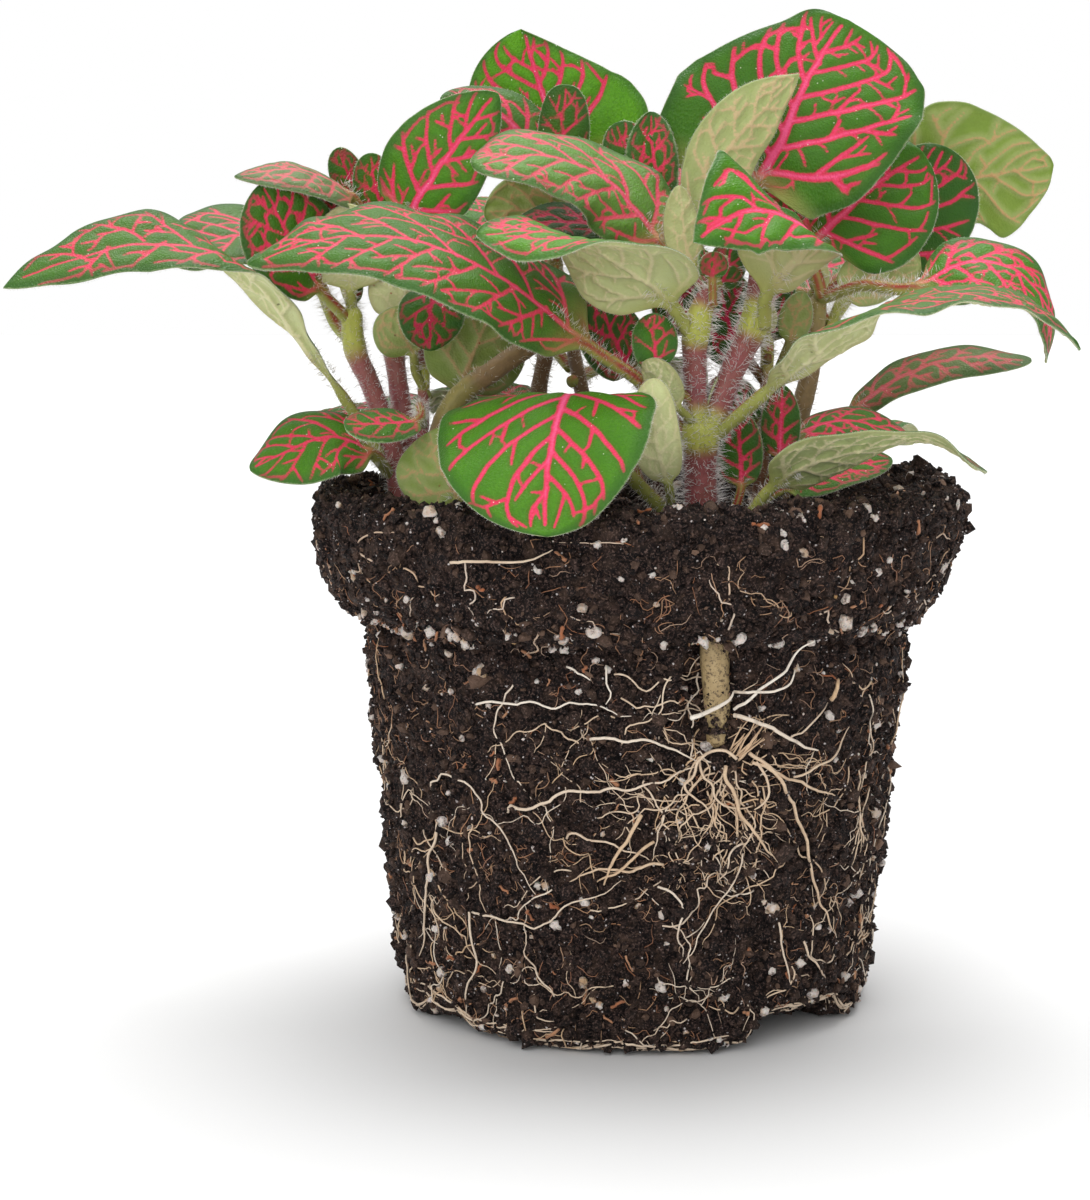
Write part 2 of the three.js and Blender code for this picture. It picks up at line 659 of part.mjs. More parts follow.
/** A leaf with its petiole: round at the stem, flattening out into the thin blade. */
function leafGeometry({ petiole, midrib, face, left, right, shape, rightShape = shape }) {
  const route = makeRoute([...petiole, ...midrib]);
  const foot = route.lengthTo(petiole.length - 1);
  const blade = route.total - foot;

  const rings = ringLengths(foot, blade).map((length) => {
    const t = Math.max(0, (length - foot) / blade);
    const step = t * (face.length - 1);
    const k = Math.min(Math.floor(step), face.length - 2);
    const look = vector(face[k]).lerp(vector(face[k + 1]), step - k);
    const heading = route.heading(length);
    const side = new THREE.Vector3().crossVectors(heading, look).normalize();
    const normal = new THREE.Vector3().crossVectors(side, heading);
    const centre = route.at(length);
    const flat = THREE.MathUtils.smoothstep(t, 0, BLEND);
    // across runs from -1 at the left edge to 1 at the right, layer from 1 on top to -1 below.
    const place = (across, layer) => {
      const isLeft = across < 0;
      const scale = fullness(t, isLeft ? shape : rightShape);
      const { out, up, tilt } = crossSection(Math.abs(across), isLeft ? left : right, scale);
      const lift = (layer * LEAF_THICKNESS) / 2;
      const x = (isLeft ? -1 : 1) * (out - lift * Math.sin(tilt));
      const height = up + lift * Math.cos(tilt);
      const turn = (Math.PI / 2) * (1 - across);
      const roundX = PETIOLE_RADIUS * Math.cos(turn);
      const roundHeight = PETIOLE_RADIUS * Math.sin(turn) * layer;
      return centre.clone()
        .addScaledVector(side, THREE.MathUtils.lerp(roundX, x, flat))
        .addScaledVector(normal, THREE.MathUtils.lerp(roundHeight, height, flat));
    };
    const upper = RING.map((across) => place(across, Math.abs(across) === 1 ? 0 : 1));
    const lower = RING.slice(1, -1).reverse().map((across) => place(across, -1));
    return [...upper, ...lower];
  });
  return skin(rings, route.at(0), route.at(route.total));
}

// ---------------------------------------------------------------- root ball

function rootBallGeometry() {
  const profile = [
    [0, 0],
    [BALL.bottomRadius, 0],
    [(BALL.bottomRadius + BALL.footRadius) / 2, BALL.footHeight / 4],
    [BALL.footRadius, BALL.footHeight],
    [BALL.creaseRadius, BALL.creaseHeight],
    [BALL.bandRadius, BALL.bandHeight],
    [BALL.rimRadius, BALL.rimHeight],
    [BALL.edgeRadius, BALL.edgeHeight],
    [BALL.lipRadius, BALL.lipHeight],
    [BALL.soilRadius, BALL.soilHeight],
    [0, BALL.soilHeight],
  ].map(([radius, height]) => new THREE.Vector2(radius, height));
  const ball = new THREE.LatheGeometry(profile, BALL.segments).rotateX(Math.PI / 2);
  const hollow = new THREE.SphereGeometry(1, HOLLOW.segments, HOLLOW.rings)
    .scale(...HOLLOW.radii)
    .translate(...HOLLOW.centre);
  return toGeometry(toSolid(ball).subtract(toSolid(hollow)));
}

/** Radius of the ball's wall below the crease. */
function wallRadius(height) {
  const share = (height - BALL.footHeight) / (BALL.creaseHeight - BALL.footHeight);
  return THREE.MathUtils.lerp(BALL.footRadius, BALL.creaseRadius, share);
}

function buriedStemGeometry() {
  const { from, fork, to, radius } = BURIED_STEM;
  const stub = bar([from, to], [radius, radius * STUB_TAPER], STEM_SIDES, STEM_STEP);
  const roots = ROOTS.map((route) => {
    const along = route.map(([degrees, height], i) => {
      const clearance = i === 0 ? HOLLOW_CLEARANCE : ROOT_CLEARANCE;
      const reach = wallRadius(height) + clearance + ROOT_RADIUS;
      const turn = THREE.MathUtils.degToRad(degrees);
      return [reach * Math.sin(turn), -reach * Math.cos(turn), height];
    });
    const points = [fork, ...along];
    return bar(points, points.map(() => ROOT_RADIUS), ROOT_SIDES, ROOT_STEP);
  });
  return join([stub, ...roots]);
}

// ---------------------------------------------------------------- assembly

const plant = new THREE.Group();

function addPiece(name, geometry, [color, roughness]) {
  geometry.computeVertexNormals();
  const finish = new THREE.MeshStandardMaterial({ color, roughness, metalness: 0 });
  const mesh = new THREE.Mesh(geometry, finish);
  mesh.name = name;
  plant.add(mesh);
}

addPiece("root_ball", rootBallGeometry(), FINISH.soil);
addPiece("buried_stem_and_roots", buriedStemGeometry(), FINISH.root);

for (const [name, shoots] of Object.entries(STEMS)) {
  const bars = shoots.map((shoot) => bar(
    shoot.map(([x, y, z]) => [x, y, z]),
    shoot.map(([, , , radius]) => radius),
    STEM_SIDES,
    STEM_STEP,
  ));
  addPiece(name, join(bars), FINISH.stem);
}

for (const [name, leaf] of Object.entries(LEAVES)) {
  addPiece(name, leafGeometry(leaf), FINISH.leaf);
}

export default plant;
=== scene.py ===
import math

import bpy
import numpy as np
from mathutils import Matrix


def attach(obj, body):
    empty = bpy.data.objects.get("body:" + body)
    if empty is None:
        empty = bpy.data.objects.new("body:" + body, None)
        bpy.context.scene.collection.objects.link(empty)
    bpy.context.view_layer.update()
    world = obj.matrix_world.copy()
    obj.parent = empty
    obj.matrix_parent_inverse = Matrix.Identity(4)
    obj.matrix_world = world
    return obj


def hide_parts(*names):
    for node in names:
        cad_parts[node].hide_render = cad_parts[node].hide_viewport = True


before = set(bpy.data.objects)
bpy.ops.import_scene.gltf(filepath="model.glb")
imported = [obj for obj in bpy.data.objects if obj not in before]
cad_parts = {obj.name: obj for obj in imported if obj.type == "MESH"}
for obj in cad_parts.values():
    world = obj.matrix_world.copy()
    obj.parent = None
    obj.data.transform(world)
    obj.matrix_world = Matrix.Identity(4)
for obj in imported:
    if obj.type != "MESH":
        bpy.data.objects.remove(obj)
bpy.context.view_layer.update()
scene = bpy.context.scene
MM = 0.001
PER_SEGMENT = 24  # points of a smooth line between two given ones
CAMERA = (-16, -450, 128)  # in mm
FOCAL = 2526  # of the camera, in pixels of its 1090 x 1200 frame
TILT = 82.9  # of the camera, in degrees from straight down
ASLANT = (0.31, 0.95, 0.05)  # along no stem, stub or hair

# Camera, light and floor


def add_camera():
    data = bpy.data.cameras.new("camera")
    camera = bpy.data.objects.new("camera", data)
    scene.collection.objects.link(camera)
    camera.location = [c * MM for c in CAMERA]
    camera.rotation_euler = (math.radians(TILT), 0, 0)
    data.lens = 75.78
    data.sensor_width = 36
    data.clip_start = 0.01
    scene.camera = camera


def add_sun(name, turn, energy, angle):
    """A soft sun; turn and angle are in degrees."""
    light = bpy.data.lights.new(name, "SUN")
    light.energy = energy
    light.angle = math.radians(angle)
    holder = bpy.data.objects.new(name, light)
    holder.rotation_euler = [math.radians(a) for a in turn]
    scene.collection.objects.link(holder)


def add_world():
    """White behind everything, but dimmer as a light."""
    world = bpy.data.worlds.new("studio")
    world.use_nodes = True
    tree = world.node_tree
    background = tree.nodes["Background"]
    background.inputs["Color"].default_value = (1, 1, 1, 1)
    path = tree.nodes.new("ShaderNodeLightPath")
    level = tree.nodes.new("ShaderNodeMapRange")
    level.inputs[3].default_value = 0.45
    level.inputs[4].default_value = 1.0
    tree.links.new(path.outputs["Is Camera Ray"], level.inputs[0])
    tree.links.new(level.outputs[0], background.inputs["Strength"])
    scene.world = world
    scene.view_settings.view_transform = "Standard"


add_camera()
add_world()
add_sun("key", (62, 0, -16), 1.6, 60)
add_sun("top", (-15, 2, 0), 3.0, 50)


# Numbers


def unit(v):
    return v / np.maximum(np.linalg.norm(v, axis=-1, keepdims=True), 1e-9)


def smooth(x, low, high):
    t = np.clip((x - low) / (high - low), 0, 1)
    return t * t * (3 - 2 * t)


def lattice(i, j, k, seed):
    n = i * 374761393 + j * 668265263 + k * 2246822519 + seed * 3266489917
    n = n & 0xFFFFFFFF
    n = ((n ^ (n >> 13)) * 1274126177) & 0xFFFFFFFF
    return (n ^ (n >> 16)) / 2147483647.5 - 1


def noise(points, size, seed=0):
    """Smooth noise from -1 to 1 at points (N x 3, in mm) with lumps of that size."""
    p = points / size
    cell = np.floor(p).astype(np.int64)
    f = p - cell
    f = f * f * (3 - 2 * f)
    out = 0
    for a in (0, 1):
        for b in (0, 1):
            for c in (0, 1):
                weight = 1
                for axis, bit in enumerate((a, b, c)):
                    weight = weight * (f[..., axis] if bit else 1 - f[..., axis])
                out = out + weight * lattice(
                    cell[..., 0] + a, cell[..., 1] + b, cell[..., 2] + c, seed
                )
    return out


def catmull_rom(points, per_segment=PER_SEGMENT):
    points = np.array(points, float)
    ends = np.vstack([2 * points[0] - points[1], points, 2 * points[-1] - points[-2]])
    out = []
    u = np.arange(per_segment)[:, None] / per_segment
    for i in range(len(points) - 1):
        a, b, c, d = ends[i : i + 4]
        before, gap, after = [
            max(float(np.sum((q - p) ** 2)) ** 0.25, 1e-4)
            for p, q in ((a, b), (b, c), (c, d))
        ]
        slope = ((b - a) / before - (c - a) / (before + gap) + (c - b) / gap) * gap
        leave = ((c - b) / gap - (d - b) / (gap + after) + (d - c) / after) * gap
        bend = -3 * b + 3 * c - 2 * slope - leave
        twist = 2 * b - 2 * c + slope + leave
        out.append(b + slope * u + bend * u**2 + twist * u**3)
    return np.vstack(out + [points[-1:]])


def lengths_along(line):
    steps = np.linalg.norm(np.diff(line, axis=0), axis=1)
    return np.concatenate([[0], np.cumsum(steps)])


def sample(line, lengths, where):
    return np.stack([np.interp(where, lengths, column) for column in line.T], -1)


class Route:
    """A smooth line that can be asked for the point at any length along it."""

    def __init__(self, points):
        self.line = catmull_rom(points)
        self.lengths = lengths_along(self.line)
        self.total = self.lengths[-1]

    def at(self, x):
        x = np.asarray(x, float)
        before = np.minimum(x, 0)[..., None] * unit(self.line[1] - self.line[0])
        return sample(self.line, self.lengths, x) + before

    def heading(self, x):
        reach = 0.01 * self.total
        return unit(self.at(np.asarray(x) + reach) - self.at(np.asarray(x) - reach))


# Meshes


class Pile:
    """Points, faces and values per point of one piece, gathered bit by bit, in mm."""

    def __init__(self):
        self.count = 0
        self.points = []
        self.quads = []
        self.tris = []
        self.quad_slots = []
        self.tri_slots = []
        self.values = {}

    def add(self, points, quads=(), tris=(), quad_slots=0, tri_slots=0, **values):
        points = np.asarray(points, float).reshape(-1, 3)
        self.points.append(points)
        if len(quads):
            self.quads.append(np.asarray(quads) + self.count)
            self.quad_slots.append(np.broadcast_to(quad_slots, len(quads)))
        if len(tris):
            self.tris.append(np.asarray(tris) + self.count)
            self.tri_slots.append(np.broadcast_to(tri_slots, len(tris)))
        for key, value in values.items():
            value = np.asarray(value, float)
            if value.ndim < 2:
                value = np.broadcast_to(value, len(points))
            self.values.setdefault(key, []).append(value)
        self.count += len(points)

    def make(self, name, materials, slot, nodes=(), smooth_shading=True):
        points = np.vstack(self.points) * MM
        quads = np.vstack(self.quads) if self.quads else np.zeros((0, 4), int)
        tris = np.vstack(self.tris) if self.tris else np.zeros((0, 3), int)
        slots = np.concatenate(self.quad_slots + self.tri_slots).astype(np.int32)
        corners = np.concatenate([quads.ravel(), tris.ravel()]).astype(np.int32)
        starts = np.concatenate(
            [np.arange(len(quads)) * 4, len(quads) * 4 + np.arange(len(tris)) * 3]
        ).astype(np.int32)
        mesh = bpy.data.meshes.new(name)
        mesh.vertices.add(len(points))
        mesh.vertices.foreach_set("co", points.astype(np.float32).ravel())
        mesh.loops.add(len(corners))
        mesh.loops.foreach_set("vertex_index", corners)
        mesh.polygons.add(len(starts))
        mesh.polygons.foreach_set("loop_start", starts)
        for material in materials:
            mesh.materials.append(material)
        mesh.polygons.foreach_set("material_index", slots)
        mesh.polygons.foreach_set("use_smooth", np.full(len(starts), smooth_shading))
        for key, value in self.values.items():
            value = np.concatenate(value).astype(np.float32)
            kind = "FLOAT_VECTOR" if value.ndim == 2 else "FLOAT"
            layer = mesh.attributes.new(key, kind, "POINT")
            layer.data.foreach_set("vector" if value.ndim == 2 else "value", value.ravel())
        mesh.update(calc_edges=True)
        mesh.validate()
        piece = bpy.data.objects.new(name, mesh)
        scene.collection.objects.link(piece)
        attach(piece, "root")
        if nodes:
            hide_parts(*nodes)


def ring_faces(rings, around):
    """Quads between rings of points laid one after another, and the column of each."""
    i, j = np.meshgrid(np.arange(rings - 1), np.arange(around), indexing="ij")
    i = i.ravel()
    j = j.ravel()
    k = (j + 1) % around
    a = i * around
    return np.stack([a + j, a + k, a + around + k, a + around + j], 1), j


def end_fan(start, around, centre, flip):
    j = np.arange(around)
    a = start + j
    b = start + (j + 1) % around
    middle = np.full(around, centre)
    return np.stack([b, a, middle] if flip else [a, b, middle], 1)


def closed_skin(rings, around):
    """ring_faces, and triangles from both end rings to the two points that follow them all."""
    quads, column = ring_faces(rings, around)
    m = rings * around
    ends = [end_fan(0, around, m, True), end_fan(m - around, around, m + 1, False)]
    return quads, np.vstack(ends), column


def on_rings(value, rings, around):
    """A value per ring, for every point of the rings and for the two end points."""
    value = np.broadcast_to(np.asarray(value, float), rings)
    return np.concatenate([np.repeat(value, around), value[[0, -1]]])


def spokes(forward, ref, around):
    """Arms that stand out round a line at each of its points, and the turn of each."""
    a = unit(np.cross(forward, ref))
    b = np.cross(forward, a)
    turn = np.arange(around) * 2 * math.pi / around
    return a[:, None] * np.cos(turn)[:, None] + b[:, None] * np.sin(turn)[:, None], turn


def tube(pile, path, radii, around, ref=ASLANT, **values):
    """A round tube along path (N x 3), closed at both ends, its rings turned by ref."""
    n = len(path)
    radii = np.broadcast_to(np.asarray(radii, float), n)
    forward = unit(np.gradient(path, axis=0))
    points = path[:, None] + spokes(forward, ref, around)[0] * radii[:, None, None]
    quads, tris, _ = closed_skin(n, around)
    start = path[0] - forward[0] * radii[0] * 0.3
    tip = path[-1] + forward[-1] * (radii[-1] * 1.2)
    full = {key: on_rings(value, n, around) for key, value in values.items()}
    pile.add(np.vstack([points.reshape(-1, 3), start, tip]), quads, tris, **full)


def for_each(values, n, size):
    """Values per hair or grain, repeated for each of its points."""
    return {key: np.repeat(np.broadcast_to(v, n), size) for key, v in values.items()}


def hairs(pile, base, out, length, radius, droop, bends, rng, **values):
    """Tapering three-sided hairs; bends is how many rings each has."""
    n = len(base)
    length = np.broadcast_to(length, n)[:, None]
    radius = np.broadcast_to(radius, n)
    lean = rng.normal(size=(n, 3)) * droop
    a = unit(np.cross(out, rng.normal(size=(n, 3))))
    b = np.cross(out, a)
    rows = []
    for i in range(bends):
        t = i / bends
        spot = base + out * length * t + lean * length * t * t
        for j in range(3):
            turn = 2 * math.pi * j / 3
            arm = a * math.cos(turn) + b * math.sin(turn)
            rows.append(spot + arm * (radius * (1 - 0.75 * t))[:, None])
    rows.append(base + out * length + lean * length)
    points = np.stack(rows, 1)
    size = 3 * bends + 1
    quads, _ = ring_faces(bends, 3)
    last = 3 * bends - 3
    tris = np.array(
        [[0, 2, 1]] + [[last + j, last + (j + 1) % 3, size - 1] for j in range(3)]
    )
    shift = (np.arange(n) * size)[:, None, None]
    quads = (quads[None] + shift).reshape(-1, 4)
    tris = (tris[None] + shift).reshape(-1, 3)
    pile.add(points.reshape(-1, 3), quads, tris, **for_each(values, n, size))


# Materials


def linear(red, green, blue):
    values = [c / 255 for c in (red, green, blue)]
    values = [c / 12.92 if c < 0.04045 else ((c + 0.055) / 1.055) ** 2.4 for c in values]
    return (*values, 1)


class Paint:
    """A node material: each call adds a node and hands back its output."""

    def __init__(self, name, **shader):
        self.material = bpy.data.materials.new(name)
        self.material.use_nodes = True
        self.tree = self.material.node_tree
        self.shader = self.tree.nodes["Principled BSDF"]
        for key, value in shader.items():
            self.shader.inputs[key.replace("_", " ")].default_value = value

    def put(self, socket, value):
        if isinstance(value, bpy.types.NodeSocket):
            self.tree.links.new(value, socket)
        else:
            socket.default_value = linear(*value) if isinstance(value, tuple) else value

    def node(self, kind, inputs, **settings):
        node = self.tree.nodes.new("ShaderNode" + kind)
        for key, value in settings.items():
            setattr(node, key, value)
        for key, value in inputs.items():
            self.put(node.inputs[key], value)
        return node

    def attribute(self, name, vector=False):
        node = self.node("Attribute", {}, attribute_name=name)
        return node.outputs["Vector" if vector else "Fac"]

    def place(self):
        return self.node("TexCoord", {}).outputs["Object"]

    def noise(self, vector, scale, detail=2.0, roughness=0.5):
        inputs = {"Vector": vector, "Scale": scale, "Detail": detail, "Roughness": roughness}
        return self.node("TexNoise", inputs).outputs[0]

    def cells(self, vector, scale):
        return self.node("TexVoronoi", {"Vector": vector, "Scale": scale})

    def range(self, value, low, high, start=0.0, end=1.0):
        inputs = {0: value, 1: low, 2: high, 3: start, 4: end}
        return self.node("MapRange", inputs, interpolation_type="SMOOTHSTEP").outputs[0]

    def math(self, operation, a, b):
        return self.node("Math", {0: a, 1: b}, operation=operation).outputs[0]

    def mix(self, factor, a, b):
        node = self.node("Mix", {}, data_type="RGBA")
        self.put(node.inputs[0], factor)
        self.put(node.inputs[6], a)
        self.put(node.inputs[7], b)
        return node.outputs[2]

    def bump(self, height, distance, strength=1.0):
        inputs = {"Height": height, "Distance": distance, "Strength": strength}
        return self.node("Bump", inputs).outputs[0]

    def finish(self, colour, roughness=None, normal=None):
        self.put(self.shader.inputs["Base Color"], colour)
        if roughness is not None:
            self.put(self.shader.inputs["Roughness"], roughness)
        if normal is not None:
            self.put(self.shader.inputs["Normal"], normal)
        return self.material


def stalk_colour(p, flat):
    """Yellow-green with a red streak, for the stalks of leaves."""
    patches = p.noise(flat, 0.35, 3.0)
    base = p.mix(patches, (132, 138, 62), (176, 178, 100))
    streak = p.math("MULTIPLY", p.attribute("blush"), p.range(patches, 0.3, 0.6, 0.55, 1.0))
    red = p.mix(streak, base, (158, 60, 56))
    # painted shade: deep darkens the stalk towards brown
    return p.mix(p.attribute("deep"), red, (80, 54, 34))


def leaf_top():
    p = Paint(
        "leaf_top", Roughness=0.45, Specular_IOR_Level=0.25, Sheen_Weight=0.03,
        Sheen_Roughness=0.4, Subsurface_Weight=0.1, Subsurface_Scale=0.001,
    )
    p.shader.inputs["Subsurface Radius"].default_value = (0.5, 1.0, 0.2)
    flat = p.attribute("flat", True)
    tone = p.attribute("tone")
    fine = p.noise(flat, 2.2, 3.0, 0.6)
    patch = p.noise(flat, 0.16, 3.0, 0.55)
    border = p.math("ADD", p.attribute("vein"), p.range(fine, 0.2, 0.8, -0.07, 0.07))
    mask = p.range(border, -0.13, 0.17, 1.0, 0.0)
    halo = p.range(border, 0.0, 0.75, 1.0, 0.0)
    core = p.range(border, -0.62, -0.08, 1.0, 0.0)
    dark = p.mix(patch, (22, 58, 14), (38, 88, 16))
    light = p.mix(patch, (72, 138, 4), (104, 168, 10))
    green = p.mix(tone, dark, light)
    green = p.mix(p.range(fine, 0.35, 0.75, 0.0, 0.35), green, (44, 90, 24))
    green = p.mix(p.math("MULTIPLY", halo, 0.38), green, (90, 84, 34))
    # painted shade: deep darkens the veins towards a dark magenta
    coral = p.mix(p.attribute("deep"), (222, 50, 86), (160, 14, 58))
    pink = p.mix(p.attribute("deep"), (250, 96, 148), (198, 28, 92))
    vein = p.mix(core, coral, pink)
    vein = p.mix(p.range(patch, 0.4, 0.75, 0.0, 0.3), vein, (214, 40, 84))
    colour = p.mix(mask, green, vein)
    # pale mixes a whitish painted sheen into the colour of the top
    painted_sheen = p.math("MULTIPLY", p.attribute("pale"), p.range(fine, 0.2, 0.8, 0.28, 0.62))
    colour = p.mix(painted_sheen, colour, (156, 152, 122))
    edge = p.attribute("edge")
    colour = p.mix(p.range(edge, 0.2, 3.0, 0.6, 0.0), colour, (44, 84, 34))
    # a thin pale rim along the margin, partly the margin's whitish fuzz and partly a painted
    # highlight on the edge
    ragged = p.math("ADD", edge, p.range(fine, 0.3, 0.7, -0.1, 0.1))
    colour = p.mix(p.range(ragged, 0.06, 0.26, 0.6, 0.0), colour, (140, 158, 112))
    specks = p.cells(flat, 0.75).outputs["Distance"]
    chosen = p.range(p.noise(flat, 0.5, 0.0), 0.5, 0.6)
    speck = p.math("MULTIPLY", p.range(specks, 0.05, 0.1, 0.8, 0.0), chosen)
    colour = p.mix(speck, colour, (226, 230, 205))
    colour = p.mix(p.attribute("stalk"), colour, stalk_colour(p, flat))
    skin = p.math("ADD", p.cells(flat, 2.6).outputs["Distance"], p.noise(flat, 4.5, 3.0))
    normal = p.bump(skin, 0.00016, 0.7)
    return p.finish(colour, p.range(fine, 0.2, 0.8, 0.36, 0.54), normal)


def leaf_underside():
    p = Paint(
        "leaf_underside", Roughness=0.6, Specular_IOR_Level=0.3, Sheen_Weight=0.08,
        Sheen_Roughness=0.5, Subsurface_Weight=0.12, Subsurface_Scale=0.001,
    )
    p.shader.inputs["Subsurface Radius"].default_value = (0.7, 1.0, 0.3)
    flat = p.attribute("flat", True)
    under = p.attribute("under")
    fine = p.noise(flat, 2.0, 3.0, 0.6)
    patch = p.noise(flat, 0.2, 3.0, 0.55)
    border = p.math("ADD", p.attribute("vein"), p.range(fine, 0.2, 0.8, -0.12, 0.12))
    mask = p.range(border, -0.2, 0.14, 1.0, 0.0)
    cream = p.mix(patch, (188, 194, 136), (226, 226, 178))
    olive = p.mix(patch, (96, 126, 30), (132, 158, 54))
    base = p.mix(under, cream, olive)
    base = p.mix(p.range(border, 0.0, 1.3, 0.4, 0.0), base, (180, 182, 128))
    net = p.attribute("pale")
    base = p.mix(net, base, (112, 136, 62))
    rib = p.mix(under, (226, 220, 178), (190, 146, 98))
    seen = p.math("ADD", p.range(under, 0.0, 0.6, 0.5, 0.9), p.math("MULTIPLY", net, 0.5))
    colour = p.mix(p.math("MULTIPLY", mask, seen), base, rib)
    edge = p.attribute("edge")
    rim = p.mix(under, (164, 146, 100), (104, 128, 70))
    colour = p.mix(p.range(edge, 0.2, 1.4, 0.35, 0.0), colour, rim)
    # a thin pale rim along the margin, partly the margin's whitish fuzz and partly a painted
    # highlight on the edge
    colour = p.mix(p.range(edge, 0.06, 0.26, 0.5, 0.0), colour, (160, 172, 130))
    specks = p.cells(flat, 0.3).outputs["Distance"]
    chosen = p.range(p.noise(flat, 0.4, 0.0), 0.5, 0.6)
    speck = p.math("MULTIPLY", p.range(specks, 0.05, 0.09, 0.7, 0.0), chosen)
    red = p.range(p.noise(flat, 0.23, 0.0), 0.5, 0.6)
    colour = p.mix(speck, colour, p.mix(red, (70, 60, 34), (176, 40, 44)))
    colour = p.mix(p.attribute("stalk"), colour, stalk_colour(p, flat))
    # painted shade: deep darkens the underside
    colour = p.mix(p.math("MULTIPLY", p.attribute("deep"), 0.55), colour, (60, 58, 30))
    skin = p.math("ADD", p.cells(flat, 2.4).outputs["Distance"], p.noise(flat, 4.0, 3.0))
    normal = p.bump(skin, 0.00013, 0.6)
    return p.finish(colour, p.range(fine, 0.2, 0.8, 0.5, 0.7), normal)


def stem_skin():
    p = Paint("stem_skin", Roughness=0.5, Specular_IOR_Level=0.4, Sheen_Weight=0.2)
    place = p.place()
    grain = p.noise(place, 900.0, 3.0, 0.6)
    patch = p.noise(place, 180.0, 2.0)
    red = p.mix(grain, (112, 46, 52), (166, 94, 94))
    red = p.mix(p.range(patch, 0.35, 0.7, 0.0, 0.45), red, (132, 88, 70))
    green = p.mix(grain, (150, 156, 56), (190, 192, 96))
    colour = p.mix(p.attribute("green"), red, green)
    tan = p.mix(grain, (96, 84, 46), (150, 130, 82))
    colour = p.mix(p.attribute("woody"), colour, tan)
    colour = p.mix(p.attribute("shade"), colour, (48, 34, 28))
    return p.finish(colour, p.range(grain, 0.2, 0.8, 0.4, 0.62), p.bump(grain, 0.0002, 0.7))


def hair_fibre():
    p = Paint("hair_fibre", Roughness=0.45, Specular_IOR_Level=0.5, Sheen_Weight=0.1)
    grain = p.noise(p.place(), 700.0, 1.0)
    colour = p.mix(grain, (226, 222, 220), (252, 250, 248))
    colour = p.mix(p.attribute("warm"), colour, (206, 190, 140))
    return p.finish(colour, p.range(grain, 0.2, 0.8, 0.35, 0.55))


def soil(name, low, high, bump):
    p = Paint(name, Roughness=0.75, Specular_IOR_Level=0.15)
    place = p.place()
    grain = p.noise(place, 2600.0, 4.0, 0.7)
    clump = p.noise(place, 330.0, 4.0, 0.65)
    shreds = p.cells(place, 1100.0)
    colour = p.mix(p.range(clump, 0.35, 0.65), low, high)
    own = p.range(shreds.outputs["Color"], 0.5, 0.95)
    colour = p.mix(p.math("MULTIPLY", own, 0.5), colour, (78, 60, 54))
    colour = p.mix(p.range(grain, 0.52, 0.64, 0.0, 0.7), colour, (120, 98, 90))
    colour = p.mix(p.range(grain, 0.48, 0.38, 0.0, 0.9), colour, (7, 5, 6))
    colour = p.mix(p.attribute("tone"), colour, (128, 102, 86))
    flecks = p.cells(place, 1300.0)
    fleck = p.range(flecks.outputs["Distance"], 0.2, 0.3, 1.0, 0.0)
    chosen = p.range(p.noise(place, 800.0, 1.0), 0.62, 0.67)
    colour = p.mix(p.math("MULTIPLY", fleck, chosen), colour, (214, 206, 204))
    height = p.math("ADD", grain, p.math("MULTIPLY", shreds.outputs["Distance"], 1.2))
    return p.finish(colour, p.range(grain, 0.3, 0.7, 0.45, 0.9), p.bump(height, bump))


def perlite():
    p = Paint("perlite", Roughness=0.75, Specular_IOR_Level=0.35, Subsurface_Weight=0.1)
    p.shader.inputs["Subsurface Scale"].default_value = 0.0005
    place = p.place()
    grain = p.noise(place, 1600.0, 4.0, 0.65)
    patch = p.noise(place, 420.0, 2.0)
    colour = p.mix(grain, (176, 160, 150), (240, 234, 228))
    rim = p.math("MULTIPLY", p.attribute("tone"), p.range(patch, 0.42, 0.62))
    colour = p.mix(rim, colour, (176, 138, 92))
    pits = p.cells(place, 1300.0).outputs["Distance"]
    colour = p.mix(p.range(pits, 0.08, 0.2, 0.6, 0.0), colour, (112, 92, 82))
    dirt = p.range(p.noise(place, 800.0, 4.0, 0.7), 0.52, 0.64, 0.0, 0.8)
    colour = p.mix(dirt, colour, (74, 56, 46))
    return p.finish(colour, 0.75, p.bump(p.math("ADD", grain, pits), 0.0004))


def root_skin():
    p = Paint("root_skin", Roughness=0.55, Specular_IOR_Level=0.35, Sheen_Weight=0.1)
    place = p.place()
    grain = p.noise(place, 1100.0, 3.0, 0.6)
    patch = p.noise(place, 150.0, 2.0)
    tan = p.mix(grain, (174, 138, 104), (224, 194, 156))
    white = p.mix(grain, (212, 198, 182), (244, 238, 226))
    colour = p.mix(p.attribute("white"), tan, white)
    rust = p.mix(grain, (92, 58, 38), (176, 96, 52))
    colour = p.mix(p.attribute("rust"), colour, rust)
    dirt = p.range(p.noise(place, 420.0, 4.0, 0.7), 0.55, 0.7, 0.0, 0.7)
    colour = p.mix(p.math("MULTIPLY", dirt, p.attribute("dirty")), colour, (58, 42, 32))
    colour = p.mix(p.range(patch, 0.5, 0.8, 0.0, 0.35), colour, (150, 112, 76))
    return p.finish(colour, p.range(grain, 0.2, 0.8, 0.45, 0.65), p.bump(grain, 0.00012, 0.6))


def stub_skin():
    p = Paint("stub_skin", Roughness=0.55, Specular_IOR_Level=0.35)
    place = p.place()
    grain = p.noise(place, 900.0, 3.0, 0.6)
    colour = p.mix(grain, (132, 110, 74), (182, 160, 118))
    marks = p.noise(place, 1700.0, 4.0, 0.7)
    colour = p.mix(p.range(marks, 0.5, 0.62, 0.0, 0.85), colour, (72, 56, 42))
    return p.finish(colour, 0.55, p.bump(grain, 0.0002))


def floor_paint():
    p = Paint("studio_floor", Roughness=0.9, Specular_IOR_Level=0.1)
    return p.finish((226, 226, 226))


